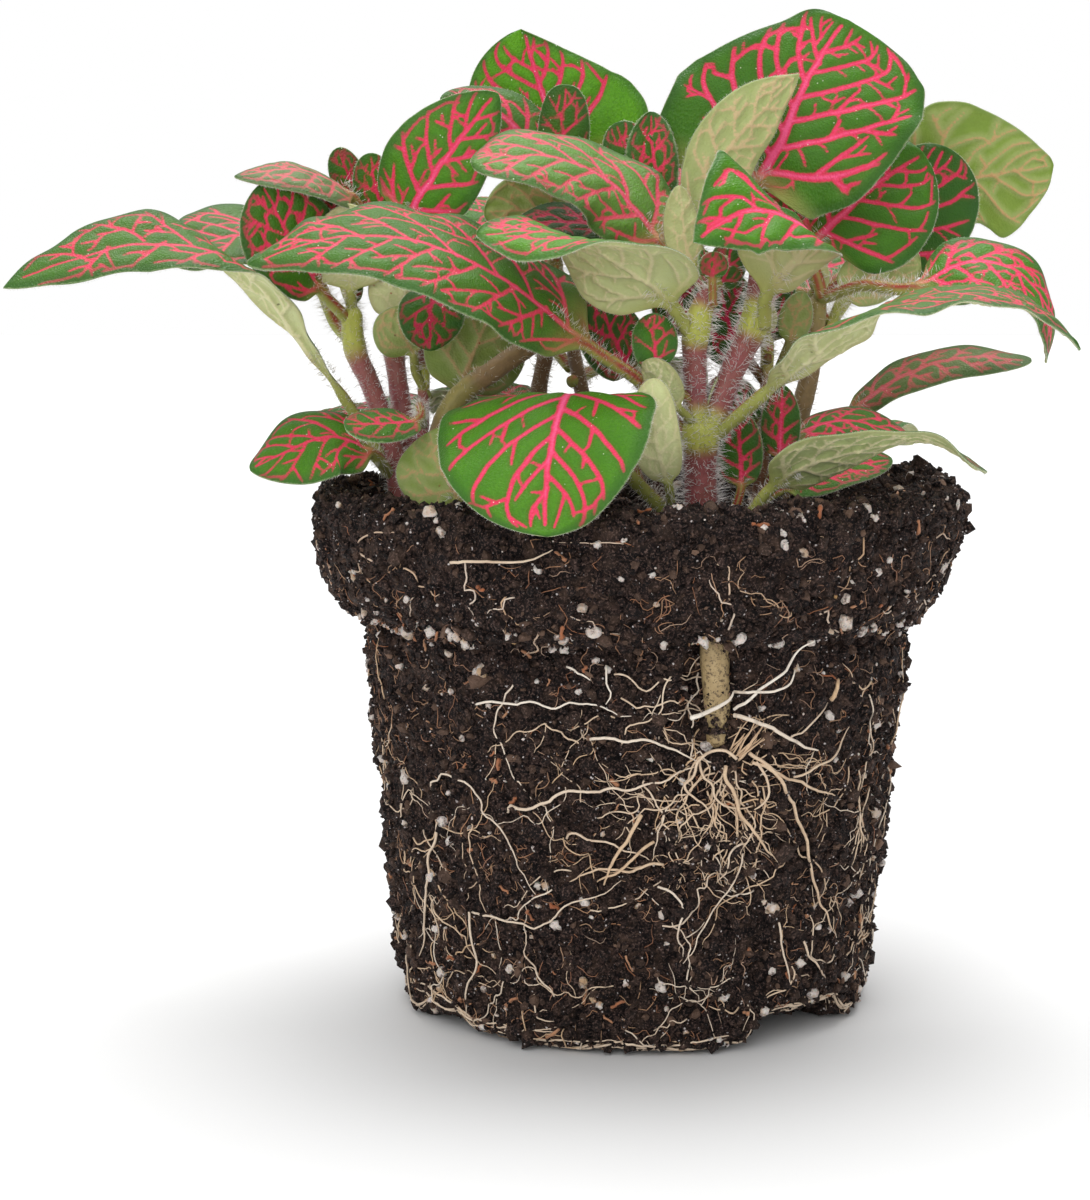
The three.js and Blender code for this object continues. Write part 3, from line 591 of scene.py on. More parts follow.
LEAF_TOP = leaf_top()
LEAF_UNDERSIDE = leaf_underside()
STEM_SKIN = stem_skin()
HAIR = hair_fibre()
SOIL = soil("soil", (9, 7, 8), (26, 19, 20), 0.0007)
CRUMBS = soil("crumb_soil", (14, 11, 12), (34, 27, 26), 0.0005)
PERLITE = perlite()
ROOT_SKIN = root_skin()
STUB = stub_skin()


# Leaves

LEAVES = {}
STEMS = {}
HALF_BLADE = 0.2  # half of a blade's thickness, in mm
GRID, BACK_GRID = 0.35, 0.6  # mm between a blade's points, in front and at the back
WARP = 0.19  # mm that the veins stray by
TILE = 7.3  # mm between the leaves in the space that their paint is drawn in
VEIN_GAPS = {1: 1.0, 1.5: 1.5, 2: 1.25, 3: 1.0}  # least mm between veins, by level
PLAIN_LOOK = dict(tone=0.45, pale=0.0, under=0.3, deep=0.0, wide=1.0, rich=1.0)


def read(text):
    """Points written as numbers, with a comma after each point."""
    return [tuple(float(n) for n in point.split()) for point in text.split(",")]


def leaf(name, stalk, midrib, face, halves, shape=".5 .5", **more):
    """Notes a leaf, in mm, with one or two entries in halves and shape, left before right.

    face is where the blade looks, from foot to tip; halves are width, fold and curl in degrees;
    shape is how fast the width grows from the foot and shrinks to the tip. An edge gives the
    width at places along the blade instead, and heart is how far the base drops behind the foot.
    tone is how light the green is, pale a whitish painted sheen on the top, under how olive the
    underside is, deep how far in the shade it is, wide how broad the veins are and rich how many.
    """
    spec = dict(stalk=stalk, midrib=midrib, face=face, halves=halves, shape=shape, **more)
    LEAVES[name] = {k: read(v) if isinstance(v, str) else v for k, v in spec.items()}


def stem(name, joints, *shoots, woody=0.0, shade=0.0):
    """Notes a stem: its green joints and its shoots, all as x, y, z and reach or radius in mm."""
    STEMS[name] = (read(joints), [read(shoot) for shoot in shoots], woody, shade)


leaf("far_left", "-46 -5 100, -51 -6 108", "-58 -13 119.5, -65 -22 129, -71 -27 133.5, "
     "-83 -30 135, -94 -32 132, -105 -32 127.5", ".3 .6 .75, .1 .1 1, 0 -.7 .75, -.1 -.7 .7",
     "7 5 -15, 8 5 -15", "1.6 .9", tone=0.35, pale=0.15, under=0.1)
leaf("left_back", "-49.8 -2.4 118, -52.8 -.8 121, -57 -1 130",
     "-67 -4 136, -75 -8 135, -81.5 -9 132", "0 -.3 .95, -.1 -.7 .7", "10 5 -10, 12 5 -10",
     ".55 .7", tone=0.3, pale=0.2, rich=0.7)
leaf("left_upright", "-52 -4 123.5, -55 -7 127", "-60 -12 136, -64 -14 145.5",
     ".2 -.6 .75, 0 -1 .1", "8.5 5 -10, 9 5 -10", ".5 .6", tone=0.35)
leaf("left_top", "-46.4 .4 133.5, -49.5 -4 143", "-58.5 -11 147.5, -68.7 -16 146.3",
     "0 -.5 .87, -.1 -.5 .87", "8 0 -20, 7 0 -20", ".5 .8", tone=0.35, pale=0.65)
leaf("left_shaded", "-46 -1.6 129, -51 -3.2 137.5", "-57 -4 141, -64 -6 143.5", "0 -.9 .4",
     "5 0 -10", ".5 .7", tone=0.1)
leaf("left_small", "-45 3.6 133.5, -48 2.5 142", "-50.5 1.5 147, -52.6 .5 152", "0 -1 .2",
     "3.4 0 -10, 3 0 -10", tone=0.4, deep=0.5)
leaf("raised_left", "-41.2 -.4 133.6, -40 -6 138.5", "-33.5 -10 149.5, -24 -9 160.7",
     "0 -1 .3, 0 -1 .2", "9.8 5 -10, 8.5 5 -10", ".45 .75", tone=0.6, wide=1.2, rich=0.75)
leaf("top_left", "-12 10 136, -11.5 11 149.5", "-16 13.5 162, -20.4 14 173.8", "0 -1 .2, 0 -1 .1",
     "14.9 5 -10, 16.5 5 -10", ".45 .5, .3 1.1", tone=0.95, wide=1.35, rich=0.5)
leaf("hooded", "-15 7 135.5, -16 4 148.5", "-23 2 157, -34.4 1 160.7", "0 -.9 .4",
     "8 0 -15, 6.5 0 -25", ".5 .6", tone=0.4, pale=0.2, wide=1.3, rich=0.6)
leaf("centre_top", "10 -26 128.5, 4 -22 134.5",
     "-1 -22 140.5, -6.8 -23 145.7, -16.8 -26 149, -28 -30 147.4",
     "-.3 -.5 .8, 0 -.6 .8, -.1 -.6 .8", "10 0 -15, 12.5 0 -15", ".45 .6", tone=0.65, pale=0.35)
leaf("centre_turned", "-9 -7 129.5, -8 -6 136.5", "-17 -10 141, -26.5 -13 140.5", "0 .9 .4",
     "7 0 10, 5 0 10", under=0.9, rich=0.6)
leaf("centre_shaded", "2.5 -8 132, -3 -13 136.5", "-11.8 -16 138.7, -21.6 -18 137.8", "0 -.7 .7",
     "4 0 0, 5 0 0", ".5 .6", tone=0.0, deep=0.4)
leaf("centre_front", "7 -30.5 121.5, 5 -33 124.5", "-.5 -37 129.5, -8.7 -41 134.4, "
     "-17.6 -43 136.3, -27 -43 136", ".2 .8 .5, .1 .1 1, 0 -.7 .7", "13 0 -10", ".55 .8",
     tone=0.7, pale=0.1, under=0.2)
leaf("front_left", "6 -27.5 105, 0 -29 112, -8 -30 117.5", "-16 -32 124.3, -26.6 -35 130.8, "
     "-39.5 -38 135, -52.3 -40 134.8, -63.9 -40 131.2", "-.3 -.6 .75, 0 -.55 .83, -.1 -.6 .8",
     "11.8 0 -15, 15 0 -15", ".55 .8", tone=0.35, pale=0.12)
leaf("front_hanging", "5 -34 90, -2 -36 97, -7 -38 104",
     "-12 -44 110.5, -15 -54 103.5, -15.7 -61.5 89.4", ".1 .5 .85, -.3 -.75 .65, -.1 -.9 .4",
     "16 0 -5, 20 0 -5", ".5 .6", tone=0.6, wide=1.35, rich=0.4)
leaf("turned_mid", "-31.5 -12 106, -31 -9 109", "-28 -8 117.7, -24 -8 127.2", "0 1 .2", "9 0 10",
     ".5 .6", under=0.85, deep=0.35, rich=0.4)
leaf("small_heart", "-36.5 -4.6 124, -35.5 -11 127.5", "-35.7 -15 122.5, -35.6 -14 116.8",
     "0 -.6 .8, 0 -1 .1", "6 0 0, 5.5 0 0", ".5 .6", tone=0.2, deep=0.6)
leaf("small_turned", "-37.4 -3.4 110, -38.8 -4.5 113, -39 -6 116", "-41 -9 120, -41.5 -9 124.5",
     "0 1 .1", "5 0 0", under=0.85, deep=0.2)
leaf("low_left", "-44 -6.5 96, -46 -12 99", "-53 -15 102, -66.5 -18 96.5",
     "0 -.5 .85, -.1 -.6 .8", "10 0 -10", ".5 .7", tone=0.5, rich=0.55)
leaf("low_small", "-37.5 -5.5 104, -37.5 -16 107.5, -37.5 -26 105.5",
     "-42.5 -29 105, -49.3 -31 105", "0 -.6 .8", "4.5 0 0", tone=0.5)
leaf("low_turned", "-29 -29 90, -30 -31 92", "-33.5 -28 98, -35.5 -23 103.5", "0 1 .3", "8 0 0",
     under=0.9, deep=0.4)
leaf("right_big", "20.5 -22 135.5, 20.5 -8 144.5",
     "25.4 -7 154.6, 30.6 -5 164.6, 36.4 -1.5 173.8", "-.1 -.95 .3", "21.5 0 0, 20.7 0 0",
     heart=5,
     left_edge="0 0, .012 9, .03 15, .07 19, .17 20.7, .34 21.5, .46 20, .56 17.5, .68 14, "
     ".84 9.6, .94 7.1, .985 4.6, 1 0",
     right_edge="0 0, .01 5, .03 8.5, .13 12.5, .29 18.2, .48 19.8, .66 20.7, .74 20.1, "
     ".84 18.6, .89 16, .944 12.6, .98 8.5, .995 4, 1 0", tone=0.42, wide=1.5, rich=0.8)
leaf("pale_curled", "12 -27 129.5, 9.5 -20 136.5", "13.4 -18 148.5, 18.8 -16 156, 27.3 -12 163.8",
     "-.2 .9 .3", "6.5 0 10", ".85 1", under=0.6)
leaf("front_folded", "20.5 -27.6 123, 20.5 -29 126", "24.5 -30 132, 26.8 -34.5 136.5, "
     "17.5 -40 139.5, 7.5 -44 134.7", "0 .8 .5, .4 -.5 .6, .35 -.8 .45", "7.6 0 0, 13 0 0",
     left_edge="0 0, .06 3, .15 4.5, .25 5.5, .38 6.5, .5 7, .6 7.6, .7 7.6, .8 5.8, .9 3, "
     ".96 1.4, 1 0",
     right_edge="0 0, .04 6.5, .1 9.3, .2 9, .28 6.5, .35 3.4, .42 2, .5 2, .56 3.2, .62 6.3, "
     ".67 10.4, .7 13, .73 11, .8 7.8, .88 4.6, .95 2.1, 1 0", tone=0.6, under=0.2, wide=1.3,
     rich=0.6)
leaf("right_under", "32.5 0 128, 31 0 134.5", "39.5 1 142.9, 50.8 3 151.4", ".1 -.95 .3",
     "11 0 0, 14 0 0", ".45 .5", tone=0.4, wide=1.3, rich=0.75)
leaf("right_dark", "33.2 4.4 127, 39 10 130, 46 13 131", "51 14 140.7, 56.5 14 153", ".1 -.9 .35",
     "9 0 0, 11 0 0", tone=0.15, wide=1.25, rich=0.5, deep=0.2)
leaf("right_pale", "32.8 4.4 118, 42 18 129, 51 21 140", "62 21.5 147.5, 77.8 22 150",
     "-.2 .9 .3", "12.8 0 5, 16 0 5",
     left_edge="0 0, .1 5, .25 8, .45 9.8, .55 11.2, .66 12.8, .77 11.6, .86 9, .93 6.2, .97 4, "
     "1 0",
     right_edge="0 0, .1 8, .25 13, .4 16, .5 14.6, .6 11.8, .7 9.3, .8 7, .88 4.8, .94 3, "
     ".98 1.6, 1 0", under=0.95, rich=0.35)
leaf("right_arching", "14 -28.5 104.5, 19.5 -33 109.8", "27 -38 116.8, 34.6 -42 122.5, "
     "44 -43 126, 55.2 -43 127, 64.3 -42 123.5, 70.5 -40 117.6",
     "-.4 .65 .65, -.1 -.1 1, .2 -.3 .9", "11 0 -10, 11.5 0 -10", "1 .8, 1 1.2", tone=0.35,
     pale=0.2, under=0.0)
leaf("right_clawed", "34 -.5 126, 39 -10 128, 46 -20 127.5",
     "55 -23 131.5, 63 -24 130, 68.5 -24 123, 68.3 -23 115", "-.1 -.6 .8, .4 -.6 .7, .9 -.3 .2",
     "7.5 0 -10, 9 0 -10", ".5 .9", tone=0.5)
leaf("right_lower", "31.5 1 99, 38 5 104.5", "47 2 111.5, 57.5 0 114.8, 70 -2 114.7",
     "-.2 -.7 .7, 0 -.6 .8", "4.8 0 -15, 4.4 0 -15", ".5 .55", tone=0.3, pale=0.75)
leaf("low_right", "27.6 -2.4 97, 27.5 -8 101.5", "36.5 -9.5 104.5, 48 -10 101.5", "0 -.45 .9",
     "6 0 -10", ".5 .6", tone=0.4)
leaf("low_curled", "18 -32 90.2, 21 -34 94.5",
     "27 -36 99, 37 -37 102, 46.5 -37 103, 56.6 -36 97.5", "-.4 .8 .5, 0 .3 .9, .3 -.2 .9",
     "8 0 0", ".5 .8", tone=0.4, under=0.15, pale=0.5)
leaf("low_lying", "19.5 -19 90.2, 24.5 -21 93.5", "33.5 -22 97, 43 -22 98.5", "0 -.6 .8", "5 0 0",
     ".5 .6", tone=0.5, wide=1.1)
leaf("centre_small", "7 -29.6 110, 2.5 -33.5 114", "2 -33.5 119, 2 -32 123.5", "0 -1 .1",
     "3.8 0 0", tone=0.4)
leaf("bud", "11.6 -31.3 127, 11.5 -32.4 129", "11.6 -33.2 131, 11.7 -33.6 133.5", "0 -1 .1",
     "2.4 0 0", tone=0.6)
leaf("centre_dark", "2.8 -4.6 108, -1 -16 113", "-5 -18 120, -6.5 -18 127.5", ".3 -.9 .2",
     "6 0 0", ".5 .6", tone=0.05, deep=0.5)
leaf("low_upright", "16.5 -19 89.8, 17.5 -19 93.5", "17.3 -18 100, 17.5 -17 107", "0 -1 .15",
     "4.5 0 0, 4 0 0", ".5 .6", tone=0.3, wide=1.1)
leaf("narrow_upright", "23.5 -9.8 95, 24.5 -13 98", "24.7 -13.5 104, 25 -13 111", "0 -1 .1",
     "3.5 0 0", ".5 .6", tone=0.3, wide=1.3)
leaf("back_centre", "3.5 -4 135, 3.2 -5 142.7", "-.5 -5 149.5, -3.8 -5 156", "0 -1 .1", "5 0 0",
     tone=0.3)
leaf("folded_centre", "4.6 -7.6 134.5, 3.6 -7 141", "2.8 -5.5 150, 2.6 -3.5 158", "0 -1 .1",
     "5 20 0, 4.5 20 0", ".5 .6", tone=0.3)
leaf("right_turned", "35 2.2 121, 37 4 125.5", "43.5 5 130.5, 51.3 6 132", "-.2 .9 .3", "6 0 0",
     under=0.7)
leaf("right_brown", "25.2 -8 115, 26.4 -8 118", "27.5 -8 122, 28.8 -8 127", "0 .9 .3", "3 0 0",
     ".5 .6", under=0.95, deep=0.5)
leaf("back_low_left", "-40.6 3.2 100, -42 10 104", "-50 20 106, -60 30 101",
     "-.2 -.2 1, -.4 .5 .8", "10 5 -10", ".5 .7")
leaf("back_upper_left", "-44 3.6 129, -46 10 134", "-54 20 139, -64 30 137",
     "-.2 -.2 1, -.4 .4 .8", "10 5 -10", ".5 .7")
leaf("back_mid_left", "-14.5 11.6 131, -19 18 136", "-27 30 143, -36 42 144",
     "-.2 -.3 1, -.3 .5 .8", "11 5 -10", ".5 .7")
leaf("back_mid", "-9.8 23.5 133.5, -8 27 137", "-3 38 144, 3 50 144", "0 -.3 1, .1 .6 .8",
     "11 5 -10", ".5 .7")
leaf("back_mid_low", "-12.3 18.6 114, -16 25 118", "-25 36 121, -34 45 117", "-.1 0 1, -.3 .5 .8",
     "10 5 -10", ".5 .7")
leaf("back_low", "2 30 90.2, 0 36 97", "-3 46 102, -6 58 99", "0 0 1, 0 .7 .7", "11 5 -10",
     ".5 .7")
leaf("back_right", "33.5 4.6 122.5, 33 16 126", "31 30 135, 28 43 138", ".1 -.3 1, .1 .4 .9",
     "11 5 -10", ".5 .7")
leaf("back_low_right", "32 26 90.2, 37 30 96", "46 38 101, 56 46 97", "0 0 1, .4 .5 .8",
     "10 5 -10", ".5 .7")

# Small leaves that only the visual model has
in_cad = set(LEAVES)
leaf("left_cream", "-50 -2 123.5, -50 -4 127", "-50 -8 134, -50 -10 142", "0 1 .2", "7 0 5",
     ".45 .6", under=0.05)
leaf("left_cream_low", "-43 0 117, -42.2 -2 121", "-40.5 -4 127, -40 -5 135", "0 1 .2", "6.5 0 5",
     ".45 .6", under=0.1)
leaf("left_green_small", "-43.6 1.5 132, -44 1 138", "-45.5 0 144, -47 -1 151",
     "0 -1 .2, 0 -1 .1", "4.2 0 -10", ".45 .5", tone=0.5)
leaf("top_small", "-14 8.4 133, -12.5 5 145", "-12.8 3 153, -12.3 1 163", "0 -.9 .4, 0 -.7 .7",
     "4.6 0 -15", ".5 .4", tone=0.3, pale=0.1, rich=0.4)
leaf("front_sliver", "5 -33 90, 4 -41 96", "1.6 -47 104, 1.2 -49.5 113.5", "0 1 .3, 0 1 .1",
     "4 0 5, 4.2 0 5", under=0.15)
leaf("crinkled", "8.6 -29 105.5, 6 -32 108", "3.4 -34 111.5, .6 -35 116", "0 .7 .7", "3.2 10 20",
     under=0.1, pale=0.3)
leaf("behind_bud", "11.4 -27.4 126, 13 -24 127.5", "14.6 -22 131, 15.4 -21 136", "0 -1 0",
     "3.2 0 -5", tone=0.1, deep=0.5)
leaf("dark_behind", "22.6 -8 111, 19.5 -9 115", "16 -11 121, 13.5 -12 131", "0 -1 .1",
     "6.5 0 -5, 6 0 -5", ".45 .5", tone=0.0, deep=0.8)
leaf("big_lobe", "20.5 -7 142.4, 20.8 -6.5 143", "24 -5.5 143.6, 30 -4.5 141", "-.1 -.95 .3",
     "4.5 0 0", ".4 .4", tone=0.3, wide=1.4)
leaf("curled_base", "10.5 -26 129, 9 -26 131", "7.5 -26 134, 6.2 -25 144.5", "-.3 .9 .1",
     "3.4 0 10", ".45 .6", under=0.4)
leaf("dark_mid", "4.3 -5 118, 5.5 -5.5 119.5", "7 -6 123, 8.5 -6 131", "0 -1 .1", "5 0 0",
     tone=0.0, deep=0.9)
leaf("dark_right", "22.8 -8 116, 23.2 -4 118", "23.6 -3 122, 24 -2.5 131", "0 -1 .1", "4.6 0 0",
     tone=0.0, deep=0.7)
leaf("thin_small", "22.3 -8 101, 20.5 -9 103.5", "18.2 -10 107, 16 -11 112", "0 -1 .2",
     "3.6 0 -5", ".45 .5", tone=0.2, deep=0.3)
leaf("back_high", "4.3 -5 132, 6.5 4 136", "8.5 12 142, 9 23 151", "0 -.7 .7, 0 -.4 .9",
     "9 5 -10", ".5 .6", tone=0.3, deep=0.4)
leaf("back_crown", "-15 10 128, -21 12 133", "-31 17 138, -42 26 138", "-.1 -.2 1, -.4 .5 .8",
     "9.5 5 -10", ".5 .7", tone=0.5, rich=0.7)
leaf("back_tail", "-10.3 20.6 128, -5 26 131", "7 35 132, 18 43 127", ".1 -.1 1, .4 .6 .7",
     "10 5 -10", ".5 .7", tone=0.4, rich=0.7)
leaf("back_skirt", "-10 14.6 111, -5 22 113", "5 34 113, 13 45 106", ".1 0 1, .3 .7 .7",
     "10 5 -10", ".5 .7", tone=0.5, rich=0.7)
leaf("back_skirt_right", "28.9 1 101, 26.5 9 103", "22 21 104, 17 33 98", "0 0 1, -.1 .7 .7",
     "9 5 -10", ".5 .7", tone=0.4, rich=0.7)
leaf("back_skirt_left", "-16.9 10.5 104, -21 14 107", "-29 24 109, -37 34 104",
     "-.1 0 1, -.4 .6 .7", "8.5 5 -10", ".5 .7", tone=0.4, rich=0.7)

stem("main_stem", "10 -27 104.5 3.4, 9.2 -29 121.5 3, 19.2 -25 122.5 3",
     "10.5 -25 87 2.9, 10.2 -26 97 2.6, 10 -27 104 3.3, 10 -27 107 2.8",
     "9.6 -27 103 2.2, 9 -28 113 1.9, 9.2 -29 121 2.2, 11.5 -28.5 128 1.6",
     "11 -27 103 2.2, 15.5 -26 114 2, 19.2 -25 122 2.3, 20.3 -24 134 1.7")
stem("left_stem", "-50 -2 121 5, -43.5 1 126 8, -37.3 -3 112 2, -37.3 -3 122 4",
     "-41 -4 87 2.2, -42.6 -4 98 2, -46.7 -3.5 110.5 1.7, -49.5 -3 117 1.9, -50 -2 125 1.6",
     "-40.2 -2 87 2, -40.6 .5 100 1.9, -42.2 1 111 1.7, -43 1 118.5 2, -44 1 134 1.6",
     "-39.6 -4.4 87 1.6, -37.6 -4 101 1, -37.4 -3 111 1, -37.2 -3 124 1")
stem("leaning_stem", "-31.5 -14 108.5 4, -9 -9 128 4", "-37.5 -18 87 1.9, -32 -14.5 107.5 1.9, "
     "-24 -14 114 1.8, -15 -12 120.5 1.6, -9 -9 129 1.4", woody=0.8)
stem("back_stem", "-14.5 9 132 6", "-15 13 86.5 1.7, -17.2 10 107 1.5, -15.6 10 117.5 1.4, "
     "-14 9 134 1.4", woody=0.7, shade=0.25)
stem("back_leaning_stem", "-10.5 20 128 6", "-4 17 86.5 1.6, -9.5 14 110 1.3, -11 17 119 1.3, "
     "-10 22 132 1.2", woody=0.7, shade=0.35)
stem("centre_stem", "4.4 -5 130 6", "5 0 86.5 1.7, 4.5 -3 112 1.5, 4.2 -6 134 1.3", shade=0.8)
stem("right_stem", "32.5 2 126 5", "28 0 86.5 1.9, 29.1 0 103.5 1.8, 31.3 1 113 1.7, "
     "32.7 2 127 1.6", woody=0.85)
stem("thin_stem", "22.8 -8 117 4", "21 -6 86.5 1.3, 22.3 -8 99.5 1.1, 22.8 -8 120 1.1", woody=0.5)


def fullness(t, shape):
    foot, tip = shape
    peak = foot / (foot + tip)
    t = np.clip(t, 0, 1)
    return (t / peak) ** foot * ((1 - t) / (1 - peak)) ** tip


def reach_of(spec, side, t):
    """How far the blade reaches from its midrib at t; side is -1 for the left half."""
    key, pick = ("left_edge", 0) if side < 0 else ("right_edge", -1)
    table = spec.get(key)
    if table is None:
        return spec["halves"][pick][0] * fullness(t, spec["shape"][pick])
    line = catmull_rom([(*point, 0) for point in table], 6)
    return np.interp(np.clip(t, 0, 1), np.maximum.accumulate(line[:, 0]), line[:, 1])


def draw_veins(rng, length, half, widest, wide, rich):
    """The veins as lists of (points, half widths); u runs along the leaf, s out to the margin."""
    size = min(1.0, (length / 32) ** 0.5) * wide
    lines = {0: [], 1: [], 2: []}
    taken = [np.zeros((0, 2))]
    waiting = []
    step = min(0.7, length / 34)
    slack = min(1.0, 0.35 + length / 60)
    thin = 0.2 if length > 20 else 0.15

    def grow(level, side, u, s, phi, width, reach, bend):
        """One vein from (u, s) at angle phi to the midrib; its twigs wait their turn."""
        others = np.vstack(taken)
        clear = VEIN_GAPS[level] * slack
        points = [(u, s)]
        angles = [phi]
        went = 0.0
        sway = rng.uniform(0, 6)
        joining = rng.uniform() < 0.45
        while went < reach:
            across = max(float(half(np.array(u), side)), 0.4)
            u += math.cos(phi) * step
            s += math.sin(phi) * step / across
            phi -= bend * step + 0.035 * math.sin(went * 1.1 + sway) * step
            went += step
            if s > 0.92 or u > 0.965 * length or s < 0.02:
                break
            if went > (4 if level == 1 else 1.6 * clear) and len(others):
                gap = np.hypot(others[:, 0] - u, others[:, 1] - side * s * across)
                if gap.min() < clear:
                    if joining:
                        near = others[gap.argmin()]
                        points.append((near[0], abs(near[1]) / across))
                        angles.append(phi)
                    break
            points.append((u, s))
            angles.append(phi)
        n = len(points)
        if n < 4:
            return
        points = np.array(points)
        v = side * points[:, 1] * half(points[:, 0], side)
        line = np.stack([points[:, 0], v], 1)
        share = np.linspace(0, 1, n)
        widths = np.maximum(width * size * np.interp(share, [0, 0.7, 1], [1, 0.85, 0.6]), thin)
        widths[-1] *= 0.7
        lines[min(int(level), 2)].append((line, widths))
        taken.append(line)

        def twig(next_level, where, turn, angle, part, far, curl):
            k = int(n * where)
            share = 1 if length > 16 else 0.5 if next_level < 2 else 0.3
            if 0 < k < n and rng.uniform() < rich * share:
                waiting.append((next_level, side, *points[k], angles[k] + turn * angle,
                                width * part, far, curl))

        if level == 1:
            turn = 1
            for where in (0.42, 0.66, 0.85):
                turn = -turn
                twig(1.5, where + rng.uniform(-0.06, 0.06), turn, rng.uniform(0.6, 0.9),
                     0.72 if where < 0.8 else 0.6, widest * rng.uniform(0.45, 0.8),
                     0.02 * turn)
            for where in (0.16, 0.3, 0.52):
                twig(2, where + rng.uniform(-0.05, 0.05), rng.choice([-1, 1]),
                     rng.uniform(0.9, 1.3), 0.44, rng.uniform(2, 7), 0)
        elif level == 1.5:
            for where, turn in ((0.4, 1), (0.7, -1)):
                twig(2, where, turn, rng.uniform(0.6, 1.0), 0.66, rng.uniform(2, 5), 0)
        elif level == 2 and length > 25:
            twig(3, 0.5, rng.choice([-1, 1]), rng.uniform(0.6, 1.0), 0.8, rng.uniform(1, 3), 0)

    u = np.linspace(-4, 0.95 * length, 60)
    sway = 0.012 * np.sin(u / length * 6 + rng.uniform(0, 6)) * smooth(u, 0, 8)
    spread = np.interp(u / length, [-0.2, 0, 0.15, 0.5, 1], [0.4, 0.55, 0.5, 0.36, 0.14])
    spine = np.stack([u, sway * length], 1)
    lines[0].append((spine, spread * size * min(wide, 1.25)))
    for side in (-1, 1):
        n = int(np.clip(round(2.4 + length / 9.5), 3, 7))
        for i in range(n):
            place = (i + (0.6 if side > 0 else 0.15) + rng.uniform(-0.1, 0.1)) / n
            start = (0.02 + 0.83 * max(place, 0)) * length
            angle = math.radians(64 - 24 * place + rng.uniform(-4, 4))
            base = 0.4 * (1 - 0.42 * place)
            grow(1, side, start, 0.0, angle, base, 3 * widest, rng.uniform(0.008, 0.018))
    taken.append(spine)
    while waiting:
        waiting.sort(key=lambda item: item[0])
        grow(*waiting.pop(0))
    return lines


def distance_to(points, lines):
    """Distance in mm from each point to the border of the nearest line, negative inside it."""
    if not lines:
        return np.full(len(points), 9.0)
    heads = np.vstack([p[:-1] for p, _ in lines])
    tails = np.vstack([p[1:] for p, _ in lines])
    wide = np.concatenate([w[:-1] for _, w in lines])
    widen = np.concatenate([np.diff(w) for _, w in lines])
    starts = np.cumsum([0] + [len(w) - 1 for _, w in lines[:-1]])
    step = tails - heads
    square = np.maximum((step**2).sum(1), 1e-9)
    out = np.empty(len(points))
    for first in range(0, len(points), 2000):
        p = points[first : first + 2000, None]
        t = np.clip(((p - heads) * step).sum(2) / square, 0, 1)
        gap = np.linalg.norm(p - heads - t[..., None] * step, axis=2) - wide - t * widen
        gap = np.minimum.reduceat(gap, starts, axis=1)
        least = gap.min(1, keepdims=True)
        soft = np.exp(-(gap - least) / 0.07).sum(1)
        out[first : first + 2000] = least[:, 0] - 0.07 * np.log(soft)
    return out


def leaf_points(spec, route, foot, t, share, lift, radius, blade):
    """Points on the leaf: t from 0 at the blade's foot to 1 at its tip, share from -1 to 1."""
    length = foot + t * blade
    faces = np.array(spec["face"], float)
    pick = np.clip(t, 0, 1) * (len(faces) - 1)
    look = np.stack([np.interp(pick, np.arange(len(faces)), c) for c in faces.T], -1)
    heading = route.heading(length)
    side = unit(np.cross(heading, look))
    normal = np.cross(side, heading)
    s = np.abs(share)
    sign = np.sign(share)
    layer = np.sign(lift) + (lift == 0)
    flat = smooth(t, 0, 0.1)
    x = np.zeros_like(t)
    height = np.zeros_like(t)
    for mark, pick in ((-1, 0), (1, -1)):
        _, fold, curl = spec["halves"][pick]
        reach = reach_of(spec, mark, t)
        start = math.radians(fold)
        bend = math.radians(curl) or 1e-6
        tilt = start + bend * s
        out = reach * (np.sin(tilt) - math.sin(start)) / bend
        up = reach * (math.cos(start) - np.cos(tilt)) / bend
        lean = tilt * smooth(s * reach, 0, 1.6)
        half = (share < 0) if mark < 0 else (share >= 0)
        x = np.where(half, mark * (out - lift * np.sin(lean)), x)
        height = np.where(half, up + lift * np.cos(lean), height)
    turn = math.pi / 2 * (1 - s)
    round_x = sign * radius * np.cos(turn)
    round_height = radius * np.sin(turn) * layer
    x = round_x * (1 - flat) + x * flat
    height = round_height * (1 - flat) + height * flat
    drop = spec.get("heart", 0) * s**2 * (1 - smooth(t, 0, 0.35)) * flat
    place = route.at(length) - heading * drop[..., None]
    return place + side * x[..., None] + normal * height[..., None]


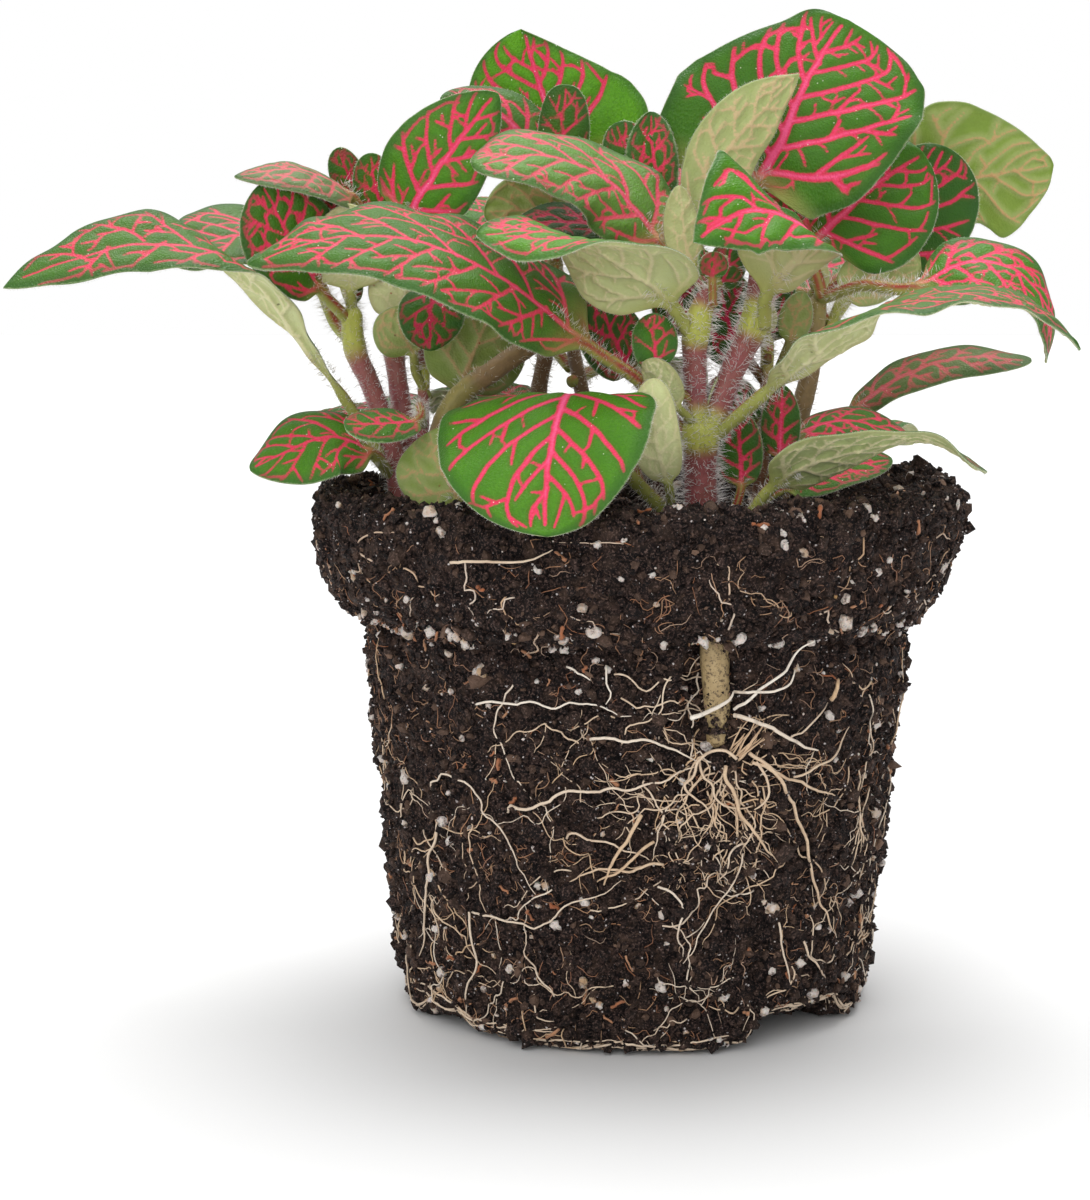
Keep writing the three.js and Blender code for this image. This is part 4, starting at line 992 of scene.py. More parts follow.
def add_leaf(name, spec, seed, grid, hair_piles):
    rng = np.random.default_rng(seed)
    look = {**PLAIN_LOOK, **spec}
    route = Route(spec["stalk"] + spec["midrib"])
    foot = route.lengths[(len(spec["stalk"]) - 1) * PER_SEGMENT]
    blade = route.total - foot
    grid = min(grid, 0.2 + blade / 100)
    widest = max(half[0] for half in spec["halves"])
    radius = float(np.clip(0.5 + 0.06 * widest, 0.7, 1.15))
    narrow = np.array([[rng.uniform(-9, 9), 0, side * 50] for side in (-1, 1)])

    def half(u, side):
        t = np.clip(np.asarray(u, float) / blade, 0, 1)
        spot = np.zeros(t.shape + (3,)) + narrow[int(side > 0)]
        spot[..., 0] += t * blade
        ragged = 1 + 0.016 * noise(spot, 7, seed) + 0.008 * noise(spot, 1.7, seed)
        return reach_of(spec, side, t) * ragged

    rows = max(int(blade / grid), 14)
    q = np.linspace(0, 1, rows)
    t = 0.62 * q + 0.19 * (1 - np.cos(math.pi * q))
    t = np.append(t[:-1], 0.5 * (t[-2] + 1))
    stalk = np.arange(-2.2 - foot, -0.4, 0.9) / blade
    t = np.concatenate([stalk, t])
    columns = int(np.clip(2 * widest / grid, 15, 127)) // 2 * 2 + 1
    q = np.linspace(-1, 1, columns)
    share = q * (1 + 0.3 * (1 - q * q))
    tt, ss = np.meshgrid(t, share, indexing="ij")
    u = tt * blade
    width = np.where(ss < 0, half(u, -1), half(u, 1))
    v = ss * width
    plane = np.stack([u, v, np.zeros_like(u)], -1)
    lines = draw_veins(rng, blade, half, widest, look["wide"], look["rich"])
    warp = np.stack([noise(plane, 3.1, seed + k) + 0.2 * noise(plane, 1.3, seed + k)
                     for k in (1, 2)], -1)
    spots = (plane[..., :2] + WARP * warp * smooth(u, 0, 5)[..., None]).reshape(-1, 2)
    levels = [distance_to(spots, lines[k]).reshape(u.shape) for k in (0, 1, 2)]
    least = np.minimum.reduce(levels)
    vein = least - 0.1 * np.log(sum(np.exp(-(d - least) / 0.1) for d in levels))
    big = np.minimum(levels[0], levels[1])

    margin = (1 - np.abs(ss)) * width
    opened = smooth(u, 1, 8)
    quilt = 0.5 * (1 - np.exp(-np.maximum(big, 0) / 1.2)) * smooth(margin, 0, 2.5)
    quilt += 0.09 * (1 - np.exp(-np.maximum(levels[2], 0) / 0.5)) * smooth(margin, 0, 2)
    phase = rng.uniform(0, 6, 2)
    wave = np.where(ss < 0, np.sin(u / 1.9 + phase[0]), np.sin(u / 1.75 + phase[1]))
    wave = wave * 0.5 + noise(plane + 40, 5.5, seed)
    ripple = 0.75 * wave * np.abs(ss) ** 3 * min(widest / 12, 1)
    sway = 0.5 * noise(plane + 80, 12, seed) * smooth(np.abs(ss) * width, 0, 6)
    middle = (quilt * size_of(widest) + ripple + sway) * opened
    rounding = np.sqrt(1 - (1 - np.clip(margin / 0.3, 0, 1)) ** 2)
    under = (
        0.62 * (1 - smooth(levels[0], -0.4, 0.7)) * np.interp(tt, [0, 1], [1, 0.35])
        + 0.3 * (1 - smooth(levels[1], -0.25, 0.5))
        + 0.12 * (1 - smooth(levels[2], -0.1, 0.35))
    ) * size_of(widest) * rounding * opened

    def sheet(share, lift, radius):
        return leaf_points(spec, route, foot, tt, share, lift, radius, blade)

    top = sheet(ss, middle + HALF_BLADE * rounding + 1e-6, radius)
    low = sheet(ss, middle - (HALF_BLADE + under) * rounding - 1e-6, radius)
    even = np.where(ss < 0, reach_of(spec, -1, tt), reach_of(spec, 1, tt))
    ragged = (width / np.maximum(even, 1e-6) - 1) * smooth(tt, 0, 0.1)
    spine = sheet(ss * 0, ss * 0 + 1e-6, 0)
    top = top + (top - spine) * ragged[..., None]
    low = low + (low - spine) * ragged[..., None]
    edge_mean = 0.5 * (top[:, [0, -1]] + low[:, [0, -1]])
    opened_edge = smooth(tt[:, :1], 0, 0.1)[..., None]
    top[:, [0, -1]] = edge_mean * opened_edge + top[:, [0, -1]] * (1 - opened_edge)

    def loop(a, b):
        return np.concatenate([a, b[:, -2:0:-1]], axis=1)

    around = 2 * columns - 2
    quads, tris, column = closed_skin(len(t), around)
    tip = route.at(route.total)
    back = route.at(foot + t[0] * blade) - 0.3 * route.heading(0.0)
    tri_slots = np.tile((np.arange(around) >= columns - 1).astype(int), 2)
    blush = smooth(tt, 0.25, -0.02) * np.exp(-(((np.abs(ss) - 0.35) / 0.3) ** 2))

    def flow(upper, lower=None):
        rows = loop(upper, upper if lower is None else lower)
        rows = rows.reshape(-1, *rows.shape[2:])
        return np.concatenate([rows, rows[[0, -1]]])

    pile = Pile()
    pile.add(
        np.vstack([loop(top, low).reshape(-1, 3), back, tip]),
        quads,
        tris,
        (column >= columns - 1).astype(int),
        tri_slots,
        flat=flow(plane + [0, 0, seed * TILE]),
        vein=flow(np.clip(vein, -2, 4)),
        edge=flow(np.where(tt < 0.02, 5, margin)),
        stalk=flow(smooth(tt, 0.16, 0.0)),
        blush=flow(blush, 0 * blush),
        **{key: look[key] for key in ("tone", "pale", "under", "deep")},
    )
    node = name + "_leaf"
    nodes = [node] if name in in_cad else []
    pile.make(node + "_surface", [LEAF_TOP, LEAF_UNDERSIDE], "leaf", nodes)
    margin_hairs(hair_piles["margin"], rng, t * blade, top, columns)
    stalk_hairs(hair_piles["stalk"], rng, route, foot, radius, blade)


def size_of(widest):
    return min(1.0, 0.35 + widest / 18)


def margin_hairs(pile, rng, u, top, columns):
    first = np.searchsorted(u, 2.0)
    for j, inner in ((0, 3), (columns - 1, columns - 4)):
        line = top[first:, j]
        lengths = lengths_along(line)
        where = np.arange(0, lengths[-1], 0.24) + rng.uniform(0, 0.24)
        where = where[where < lengths[-1]]
        base = sample(line, lengths, where)
        inside = sample(top[first:, inner], lengths, where)
        out = unit(unit(base - inside) + rng.normal(size=base.shape) * 0.35)
        length = rng.uniform(0.22, 0.6, len(base))
        hairs(pile, base - out * 0.05, out, length, 0.04, 0.15, 1, rng, warm=0.2)


def stalk_hairs(pile, rng, route, foot, radius, blade):
    reach = foot + 0.16 * blade
    n = int(reach * 2 * math.pi * radius * 2.6)
    where = rng.uniform(0, reach, n)
    spine = route.at(where)
    forward = route.heading(where)
    a = unit(np.cross(forward, [0.2, 0.3, 0.93]))
    b = np.cross(forward, a)
    turn = rng.uniform(0, 2 * math.pi, n)[:, None]
    out = a * np.cos(turn) + b * np.sin(turn)
    length = rng.uniform(0.8, 1.9, n)
    base = spine + out * (radius * 0.93)
    out = unit(out + forward * 0.2 + rng.normal(size=out.shape) * 0.25)
    hairs(pile, base, out, length, 0.048, 0.25, 2, rng, warm=0.1)


def add_stem(name, rng, hair_pile):
    pile = Pile()
    joints, shoots, woody, shade = STEMS[name]
    main = name == "main_stem"
    for shoot in shoots:
        shoot = np.array(shoot, float)
        route = Route(shoot[:, :3])
        ends = [route.lengths[PER_SEGMENT * k] for k in range(len(shoot))]
        where = np.arange(0, route.total, 0.45)
        path = route.at(where)
        green = np.zeros(len(path))
        for x, y, z, reach in joints:
            near = np.linalg.norm(path - [x, y, z], axis=1) / reach
            green = np.maximum(green, 1 - smooth(near, 0.6, 1.5))
        radii = np.interp(where, ends, shoot[:, 3])
        radii *= np.minimum(1, np.sqrt(np.maximum(route.total - where, 0.01) / 2.2))
        radii = radii * (1 + 0.03 * noise(path, 4.0, 5)) * (1 + 0.07 * green * (woody < 0.8))
        around = 28
        forward = unit(np.gradient(path, axis=0))
        ring, turn = spokes(forward, ASLANT, around)
        ribs = 1 + 0.025 * np.sin(turn * 5 + 0.7) + 0.012 * np.sin(turn * 9)
        surface = path[:, None] + ring * (radii[:, None] * ribs)[..., None]
        surface += ring * (0.09 * noise(surface, 1.1, 9))[..., None]
        n = len(path)
        quads, tris, _ = closed_skin(n, around)
        points = np.vstack([surface.reshape(-1, 3), path[0], path[-1] + forward[-1] * 0.7])
        pile.add(points, quads, tris, green=on_rings(green, n, around), woody=woody, shade=shade)
        density = 3.4 if main else 2.6 if woody < 0.8 else 0.8
        start = np.searchsorted(path[:, 2], 89.5)
        area = 2 * math.pi * radii.mean() * (n - start) * 0.45
        count = int(area * density)
        i = rng.integers(start, n, count)
        j = rng.integers(0, around, count)
        base = surface[i, j] - ring[i, j] * 0.08
        out = unit(ring[i, j] + forward[i] * 0.15 + rng.normal(size=(count, 3)) * 0.28)
        long = rng.uniform(1.1, 2.7, count) * (1.0 if main else 0.6)
        thick = 0.055 if main else 0.048
        hairs(hair_pile, base, out, long, thick, 0.22, 3, rng, warm=0.5 * woody)
    pile.make(name + "_surface", [STEM_SKIN], "stem", [name])


# Root ball

# From the middle of the underside out, up the wall and the band, and in over the top
PROFILE = read(
    "0 0, 36 0, 38.65 .55, 41.3 2.2, 48.4 68, 50.2 70, 52.6 73, 54.8 76.5, 56 81, 57 89, "
    "56.2 92, 52 92.6, 45 89.3, 0 88.5"
)
CRUMB_COUNT, PERLITE_COUNT, DUST_COUNT, BARK_COUNT = 34000, 760, 700, 300
FAN_COUNT, BUNDLE_COUNT, WEB_COUNT, FOOT_COUNT = 26, 14, 220, 70
RIM_COUNT, THREAD_COUNT = 56, 1500
STUB_CRUMB_COUNT = 150
HOLLOW = (12.5, 62, 6.0, 9.6)  # angle, height and half sizes, in degrees and mm
MOUND = (41, 6, 13, 15, 5.5)  # of soil on top: x, y, half sizes and height, in mm
CREASE = 69  # height of the groove under the band, in mm
ALONG = 0.82  # mm round the wall for each degree
EASED = 5  # points of a root over which the wall's lumps are averaged
TILT_COS, TILT_SIN = 0.9923, 0.1236  # of the camera's 7.1 degrees below level


def smooth_profile():
    points = np.array(PROFILE)
    steps = lengths_along(points)
    where = [0.0]
    while where[-1] < steps[-1]:
        r, z = sample(points, steps, where[-1])
        inner = r < 34
        where.append(where[-1] + (2.2 if inner and z < 50 else 1.4 if inner else 0.72))
    where = np.array(where[:-1] + [steps[-1]])
    line = sample(points, steps, where)
    for _ in range(2):
        line[1:-1] = 0.25 * line[:-2] + 0.5 * line[1:-1] + 0.25 * line[2:]
    return line


PROFILE_LINE = smooth_profile()
SIDE = PROFILE_LINE[(PROFILE_LINE[:, 0] > 38) & (PROFILE_LINE[:, 1] < 90.4)]


def wall_radius(z):
    return np.interp(z, SIDE[:, 1], SIDE[:, 0])


def ball_surface(theta, r, z, out_r, out_z):
    """Points on the rough ball. theta turns from the front towards +X."""
    sin, cos = np.sin(theta), np.cos(theta)
    spot = np.stack([r * sin, -r * cos, z + 0 * theta], -1)
    rough = 1.0 * noise(spot, 9.5, 1) + 0.62 * noise(spot, 4.2, 2)
    rough = rough + 0.5 * noise(spot, 2.0, 3) + 0.26 * noise(spot, 0.95, 4)
    top = smooth(z, 84, 89)
    rough = rough * (1 + 0.6 * top) + top * 0.9 * noise(spot, 14, 7)
    x, y, across, deep, high = MOUND
    mound = ((spot[..., 0] - x) / across) ** 2 + ((spot[..., 1] - y) / deep) ** 2
    rough = rough + high * np.exp(-mound) * top * np.abs(out_z)
    degrees = np.degrees(theta)
    centre, height, wide, tall = HOLLOW
    q = ((degrees - centre) / wide) ** 2 + ((z - height) / tall) ** 2
    rough = rough - 4.6 * np.sqrt(np.clip(1 - q, 0, 1)) * (z > 3)
    crease = np.exp(-(((z - CREASE) / 1.2) ** 2)) * (np.abs(out_z) < 0.9)
    rough = rough - 1.5 * crease
    spot = spot + np.stack([out_r * sin, -out_r * cos, out_z + 0 * theta], -1) * rough[..., None]
    notch = smooth(degrees, 25, 30) * (1 - smooth(degrees, 56, 62))
    notch = 4.2 * notch + 2.0 * smooth(degrees, -66, -60) * (1 - smooth(degrees, -50, -44))
    lift = notch * np.clip(1 - z / 16, 0, 1)
    spot[..., 2] = np.maximum(spot[..., 2], 0.02 + 0.25 * noise(spot, 1.5, 8) ** 2) + lift
    return spot


def wall(degrees, z):
    """Points on the ball's side wall, at angles round from the front and heights, in mm."""
    z = np.clip(z, 0.8, 90)
    theta = np.radians(degrees)
    spot = ball_surface(theta, wall_radius(z), z, 1.0, 0.0 * z)
    out = np.stack([np.sin(theta), -np.cos(theta), 0 * theta], -1)
    return spot, out


def lying(degrees, z, lift):
    """A line lying on the wall, eased over the small lumps, lift mm clear of them."""
    spot, out = wall(degrees, z)
    n = len(spot)
    if n > EASED:
        reach = np.linalg.norm(spot[:, :2], axis=1)
        padded = np.pad(reach, EASED // 2, mode="edge")
        even = np.convolve(padded, np.ones(EASED) / EASED, mode="valid")[:n]
        even = np.maximum(even, reach - 0.25)
        spot = spot + out * (even - reach)[:, None]
    return spot + out * np.asarray(lift)[..., None], out


def on_wall(px, py):
    """The angle and height on the wall where the camera's line through a point of its frame
    meets it, with the point counted across and down."""
    k = (600 - py) / FOCAL
    low, high = 380.0, 450.0
    for _ in range(40):
        dy = 0.5 * (low + high)
        dz = dy * (k * TILT_COS - TILT_SIN) / (TILT_COS + k * TILT_SIN)
        dx = (px - 545) / FOCAL * (dy * TILT_COS - dz * TILT_SIN)
        x, y, z = dx + CAMERA[0], dy + CAMERA[1], dz + CAMERA[2]
        if math.hypot(x, y) > wall_radius(z):
            low = dy
        else:
            high = dy
    return math.degrees(math.atan2(x, -y)), z


def add_ball(rng):
    line = PROFILE_LINE
    tangent = unit(np.gradient(line, axis=0))
    out_r, out_z = tangent[:, 1], -tangent[:, 0]
    around = 440
    theta = (np.arange(around) / around * 2 - 1) * math.pi
    grid = [line[1:-1, k][:, None] for k in (0, 1)]
    surface = ball_surface(
        theta[None] + 0 * grid[0], grid[0] + 0 * theta, grid[1] + 0 * theta,
        out_r[1:-1, None] + 0 * theta, out_z[1:-1, None] + 0 * theta,
    )
    quads, tris, _ = closed_skin(len(surface), around)
    points = np.vstack([surface.reshape(-1, 3), [[0, 0, 0.02], [0, 0, 88.5]]])
    tone = np.clip(0.25 * noise(points, 1.3, 11) + 0.12 * noise(points, 3, 12), 0, 1)
    pile = Pile()
    pile.add(points, quads, tris, tone=tone)
    pile.make("root_ball_soil", [SOIL], "soil", ["root_ball"])
    along = np.gradient(surface, axis=0)
    across = np.roll(surface, -1, 1) - np.roll(surface, 1, 1)
    face = np.cross(across, along)
    area = np.linalg.norm(face, axis=2)
    return surface, unit(face), area


ICO = read("-1 1.618 0, 1 1.618 0, -1 -1.618 0, 1 -1.618 0, 0 -1 1.618, 0 1 1.618, 0 -1 -1.618, "
           "0 1 -1.618, 1.618 0 -1, 1.618 0 1, -1.618 0 -1, -1.618 0 1")
ICO_FACES = np.array(read(
    "0 11 5, 0 5 1, 0 1 7, 0 7 10, 0 10 11, 1 5 9, 5 11 4, 11 10 2, 10 7 6, 7 1 8, 3 9 4, "
    "3 4 2, 3 2 6, 3 6 8, 3 8 9, 4 9 5, 2 4 11, 6 2 10, 8 6 7, 9 8 1"
), int)


def subdivide(points, faces):
    points = [np.array(p, float) for p in points]
    known = {}
    out = []

    def middle(a, b):
        key = (min(a, b), max(a, b))
        if key not in known:
            points.append(points[a] + points[b])
            known[key] = len(points) - 1
        return known[key]

    for a, b, c in faces:
        ab, bc, ca = middle(a, b), middle(b, c), middle(c, a)
        out += [(a, ab, ca), (b, bc, ab), (c, ca, bc), (ab, bc, ca)]
    return unit(np.array([unit(p) for p in points])), np.array(out)


def grains(pile, spots, sizes, stretch, ragged, rng, fine=False, **values):
    """Rough lumps, each turned and stretched its own way; sizes are radii in mm."""
    shape, faces = unit(np.array(ICO)), ICO_FACES
    if fine:
        shape, faces = subdivide(shape, faces)
    n = len(spots)
    q = unit(rng.normal(size=(n, 4)))
    w, x, y, z = q.T
    turn = np.stack([
        1 - 2 * (y * y + z * z), 2 * (x * y - z * w), 2 * (x * z + y * w),
        2 * (x * y + z * w), 1 - 2 * (x * x + z * z), 2 * (y * z - x * w),
        2 * (x * z - y * w), 2 * (y * z + x * w), 1 - 2 * (x * x + y * y),
    ], 1).reshape(n, 3, 3)
    scale = 1 + rng.uniform(-stretch, stretch, (n, 1, 3))
    lumps = shape[None] * scale * (1 + rng.uniform(-ragged, ragged, (n, len(shape), 1)))
    points = np.einsum("nij,nkj->nki", turn, lumps) * sizes[:, None, None] + spots[:, None]
    points[..., 2] = np.maximum(points[..., 2], 0.02)
    shift = (np.arange(n) * len(shape))[:, None, None]
    tris = (faces[None] + shift).reshape(-1, 3)
    pile.add(points.reshape(-1, 3), (), tris, **for_each(values, n, len(shape)))


def scatter(ball, count, rng, weight):
    """Spots spread evenly over the ball, each with the way out from it."""
    surface, out, area = ball
    share = np.cumsum((area * weight(surface))[:-1].ravel())
    pick = np.searchsorted(share, rng.uniform(0, share[-1], count))
    i, j = np.divmod(pick, surface.shape[1])
    k = (j + 1) % surface.shape[1]
    a, b = rng.uniform(size=(2, count, 1))
    spot = surface[i, j] * (1 - a) * (1 - b) + surface[i + 1, j] * a * (1 - b)
    spot += surface[i, k] * (1 - a) * b + surface[i + 1, k] * a * b
    return spot, out[i, j]


def seen_side(surface):
    """Loose grains lie on the walls and the top, not under the ball."""
    return (surface[..., 2] > 1.2) * 1.0


def add_grains(ball, rng):
    crumbs = Pile()
    n = CRUMB_COUNT
    spot, out = scatter(ball, n, rng, seen_side)
    size = np.clip(rng.lognormal(-0.85, 0.45, n), 0.18, 1.3)
    tone = np.clip(rng.gamma(0.3, 0.3, n), 0, 1)
    grains(crumbs, spot + out * (size * 0.25)[:, None], size, 0.55, 0.3, rng, tone=tone)
    crumbs.make("soil_crumbs", [CRUMBS], "soil", smooth_shading=False)

    white = Pile()

    def near_crease(surface):
        z = surface[..., 2]
        return seen_side(surface) * (1 + 5 * np.exp(-(((z - 71) / 1.6) ** 2)))

    n = PERLITE_COUNT
    spot, out = scatter(ball, n, rng, near_crease)
    size = np.clip(rng.lognormal(-0.5, 0.36, n), 0.35, 1.05)
    tone = rng.uniform(0, 1, n) * (rng.uniform(size=n) < 0.7)
    grains(white, spot + out * (size * 0.25)[:, None], size, 0.36, 0.3, rng, True, tone=tone)
    n = DUST_COUNT
    spot, out = scatter(ball, n, rng, seen_side)
    size = 0.1 + rng.gamma(1.5, 0.06, n)
    grains(white, spot + out * 0.3, size, 0.4, 0.3, rng, tone=0.2)
    white.make("perlite_grains", [PERLITE], "soil")

    bark = Pile()
    spot, out = scatter(ball, BARK_COUNT, rng, near_crease)
    for p, o in zip(spot, out):
        length = rng.uniform(0.8, 2.8)
        lean = unit(np.cross(o, rng.normal(size=3)))
        step = np.linspace(-0.5, 0.5, 5)[:, None]
        path = p + o * 0.35 + lean * step * length + rng.normal(size=(5, 3)) * 0.14
        path[:, 2] = np.maximum(path[:, 2], 0.6)
        thick = rng.uniform(0.14, 0.4) * rng.uniform(0.6, 1.2, 5)
        tube(bark, path, thick, 5, o, rust=rng.uniform(0.6, 1), white=0, dirty=0.5)
    bark.make("bark_bits", [ROOT_SKIN], "soil")


# Roots


def root(pile, degrees, z, radius, rng, lift=0.0, around=5, **values):
    """One root lying on the wall through points given by angle and height."""
    route = catmull_rom(np.column_stack([degrees, z, np.zeros(len(z))]), 10)
    steps = np.hypot(np.diff(route[:, 0]) * ALONG, np.diff(route[:, 1]))
    lengths = np.concatenate([[0], np.cumsum(steps)])
    where = np.arange(0, lengths[-1], 0.75)
    if len(where) < 4:
        return
    spots = sample(route[:, :2], lengths, where)
    spots += np.cumsum(rng.normal(size=spots.shape) * 0.07, axis=0)
    thick = radius * np.interp(where / lengths[-1], [0, 0.7, 1], [1, 0.75, 0.35])
    rise = 0.15 + thick + np.interp(where / lengths[-1], [0, 0.15, 0.85, 1], [-0.5, 0, 0, -0.4])
    rise = rise + lift + 0.25 * noise(np.column_stack([where, where * 0, where * 0]), 4, 3)
    path, out = lying(spots[:, 0], spots[:, 1], rise)
    path[:, 2] = np.maximum(path[:, 2], thick + 0.1)
    tube(pile, path, thick, around, out, **values)


def wander(rng, start, heading, length, bend=0.24):
    """A wandering line over the wall, as angles and heights."""
    steps = max(int(length / 1.5), 3)
    turn = heading + np.cumsum(rng.normal(size=steps) * bend)
    turn += rng.normal(size=steps) * 1.6 * bend
    x = start[0] + np.concatenate([[0], np.cumsum(np.cos(turn) * length / steps)]) / ALONG
    z = start[1] + np.concatenate([[0], np.cumsum(np.sin(turn) * length / steps)])
    return x, np.clip(z, 0.8, 88), turn


def branching(pile, rng, start, heading, length, radius, level=0, **values):
    x, z, turn = wander(rng, start, heading, length)
    root(pile, x, z, radius, rng, lift=0.25 + 0.1 * (2 - level), **values)
    if level < 2 and length > 7:
        for _ in range(rng.integers(1, 4 if level == 0 else 3)):
            k = rng.integers(1, len(x) - 1)
            side = rng.choice([-1, 1]) * rng.uniform(0.4, 1.1)
            branching(pile, rng, (x[k], z[k]), turn[k] + side, length * rng.uniform(0.3, 0.6),
                      radius * 0.68, level + 1, **values)


# The larger roots, as on the real one: radius in mm, whiteness, how far clear of the wall in mm,
# and points across and down the camera's frame, which on_wall sets on the wall
HAND_ROOTS = [
    (0.5, 1.0, 5.2, "687 715, 708 707, 723 698, 730 689"),
    (0.3, 0.9, 3.6, "730 690, 745 688, 757 687, 768 682, 776 676, 784 662"),
    (0.33, 1.0, 3.2, "730 708, 738 698, 752 685, 766 671, 775 662, 793 644, 806 637"),
    (0.45, 0.7, 2.2, "730 713, 742 717, 753 722, 762 726, 770 732, 784 739, 792 745, 806 749"),
    (0.26, 0.9, 0.4, "479 704, 492 701, 506 703, 520 706, 533 702, 546 705, 559 708, 572 703, "
     "586 705, 600 706, 613 711, 624 716, 636 717"),
    (0.32, 0.7, 0.5, "591 739, 602 738, 613 737, 625 739, 636 737, 648 738, 658 741, 668 745, "
     "676 748, 686 754, 700 762"),
    (0.34, 0.5, 0.5, "510 811, 512 804, 520 806, 532 806, 542 801, 550 799, 558 792, 568 789, "
     "581 792, 595 793, 612 789, 631 791, 647 785, 663 783, 680 772, 700 768"),
    (0.24, 0.9, 0.4, "568 667, 576 669, 582 673, 588 675, 596 681"),
    (0.22, 0.9, 0.4, "606 666, 607 676, 608 685, 612 694, 609 700, 606 706"),
    (0.22, 0.6, 0.4, "436 790, 434 783, 443 778, 446 772, 454 771, 459 776, 467 779, 473 784, "
     "479 792, 486 800, 488 810, 497 818, 506 828, 513 842, 519 855, 521 865, 527 873, "
     "533 886, 541 896"),
    (0.42, 0.1, 0.7, "641 814, 636 824, 631 833, 626 843, 620 851, 611 868, 604 887"),
    (0.34, 0.1, 0.6, "654 842, 645 847, 636 855, 626 864, 618 871, 606 874, 595 880"),
    (0.26, 0.4, 0.5, "568 838, 570 833, 578 833, 586 838, 596 841, 606 842, 616 846, 627 853, "
     "638 854, 650 860"),
    (0.3, 0.2, 0.4, "663 864, 651 862, 640 866, 629 871, 618 869, 602 869, 587 873, 568 882"),
    (0.42, 0.15, 0.8, "723 764, 722 772, 724 780, 731 790, 734 801, 737 814, 744 824, 749 832, "
     "757 842, 762 850, 768 856"),
    (0.4, 0.2, 0.6, "745 752, 757 761, 767 771, 775 783, 780 795, 789 806, 792 817, 798 828, "
     "803 842, 804 855, 807 870, 811 887, 814 902, 820 914, 822 925, 827 936"),
    (0.36, 0.2, 0.6, "748 761, 759 764, 770 770, 781 777, 793 779, 803 784, 811 786, 822 789, "
     "834 793"),
    (0.26, 0.3, 0.5, "788 775, 799 769, 811 761, 824 754, 834 743, 841 731, 849 721"),
    (0.22, 0.4, 0.5, "782 739, 790 733, 798 730, 808 719, 820 707, 827 700"),
    (0.5, 0.0, 0.9, "825 699, 829 686, 832 673"),
    (0.26, 0.7, 0.4, "658 887, 668 891, 676 898, 681 905, 682 914, 677 926, 676 940, 681 949, "
     "681 959"),
    (0.24, 0.5, 0.4, "739 842, 731 847, 726 855, 725 864, 723 873, 715 880, 712 887"),
    (0.2, 0.6, 0.4, "741 853, 739 865, 734 878, 729 889, 721 900, 712 911, 703 923, 696 933, "
     "692 945, 686 953, 681 963"),
    (0.34, 0.3, 1.0, "732 757, 722 749, 705 752, 694 762, 690 775, 681 784, 690 795, 701 803, "
     "708 815"),
    (0.28, 0.3, 0.8, "700 762, 703 775, 712 785, 714 797, 722 805, 738 808, 752 804"),
    (0.3, 0.3, 0.9, "752 760, 762 778, 764 792, 757 803, 748 809"),
    (0.32, 0.4, 0.5, "452 562, 470 561, 490 562, 510 563, 530 562, 545 557, 556 551"),
    (0.3, 0.4, 0.4, "438 822, 439 840, 434 858, 436 875, 431 893, 430 906, 426 925, 427 940, "
     "424 960"),
    (0.26, 0.5, 0.4, "470 912, 473 932, 476 950, 478 966, 473 984, 470 1000, 465 1020"),
    (0.24, 0.5, 0.4, "472 912, 488 914, 506 919, 520 921, 533 926, 550 919, 568 905, 584 900, "
     "596 896, 610 890, 622 880"),
    (0.24, 0.5, 0.4, "777 922, 779 942, 782 960, 784 978, 786 995"),
    (0.26, 0.4, 0.4, "800 940, 803 956, 810 966, 816 978, 824 992"),
]


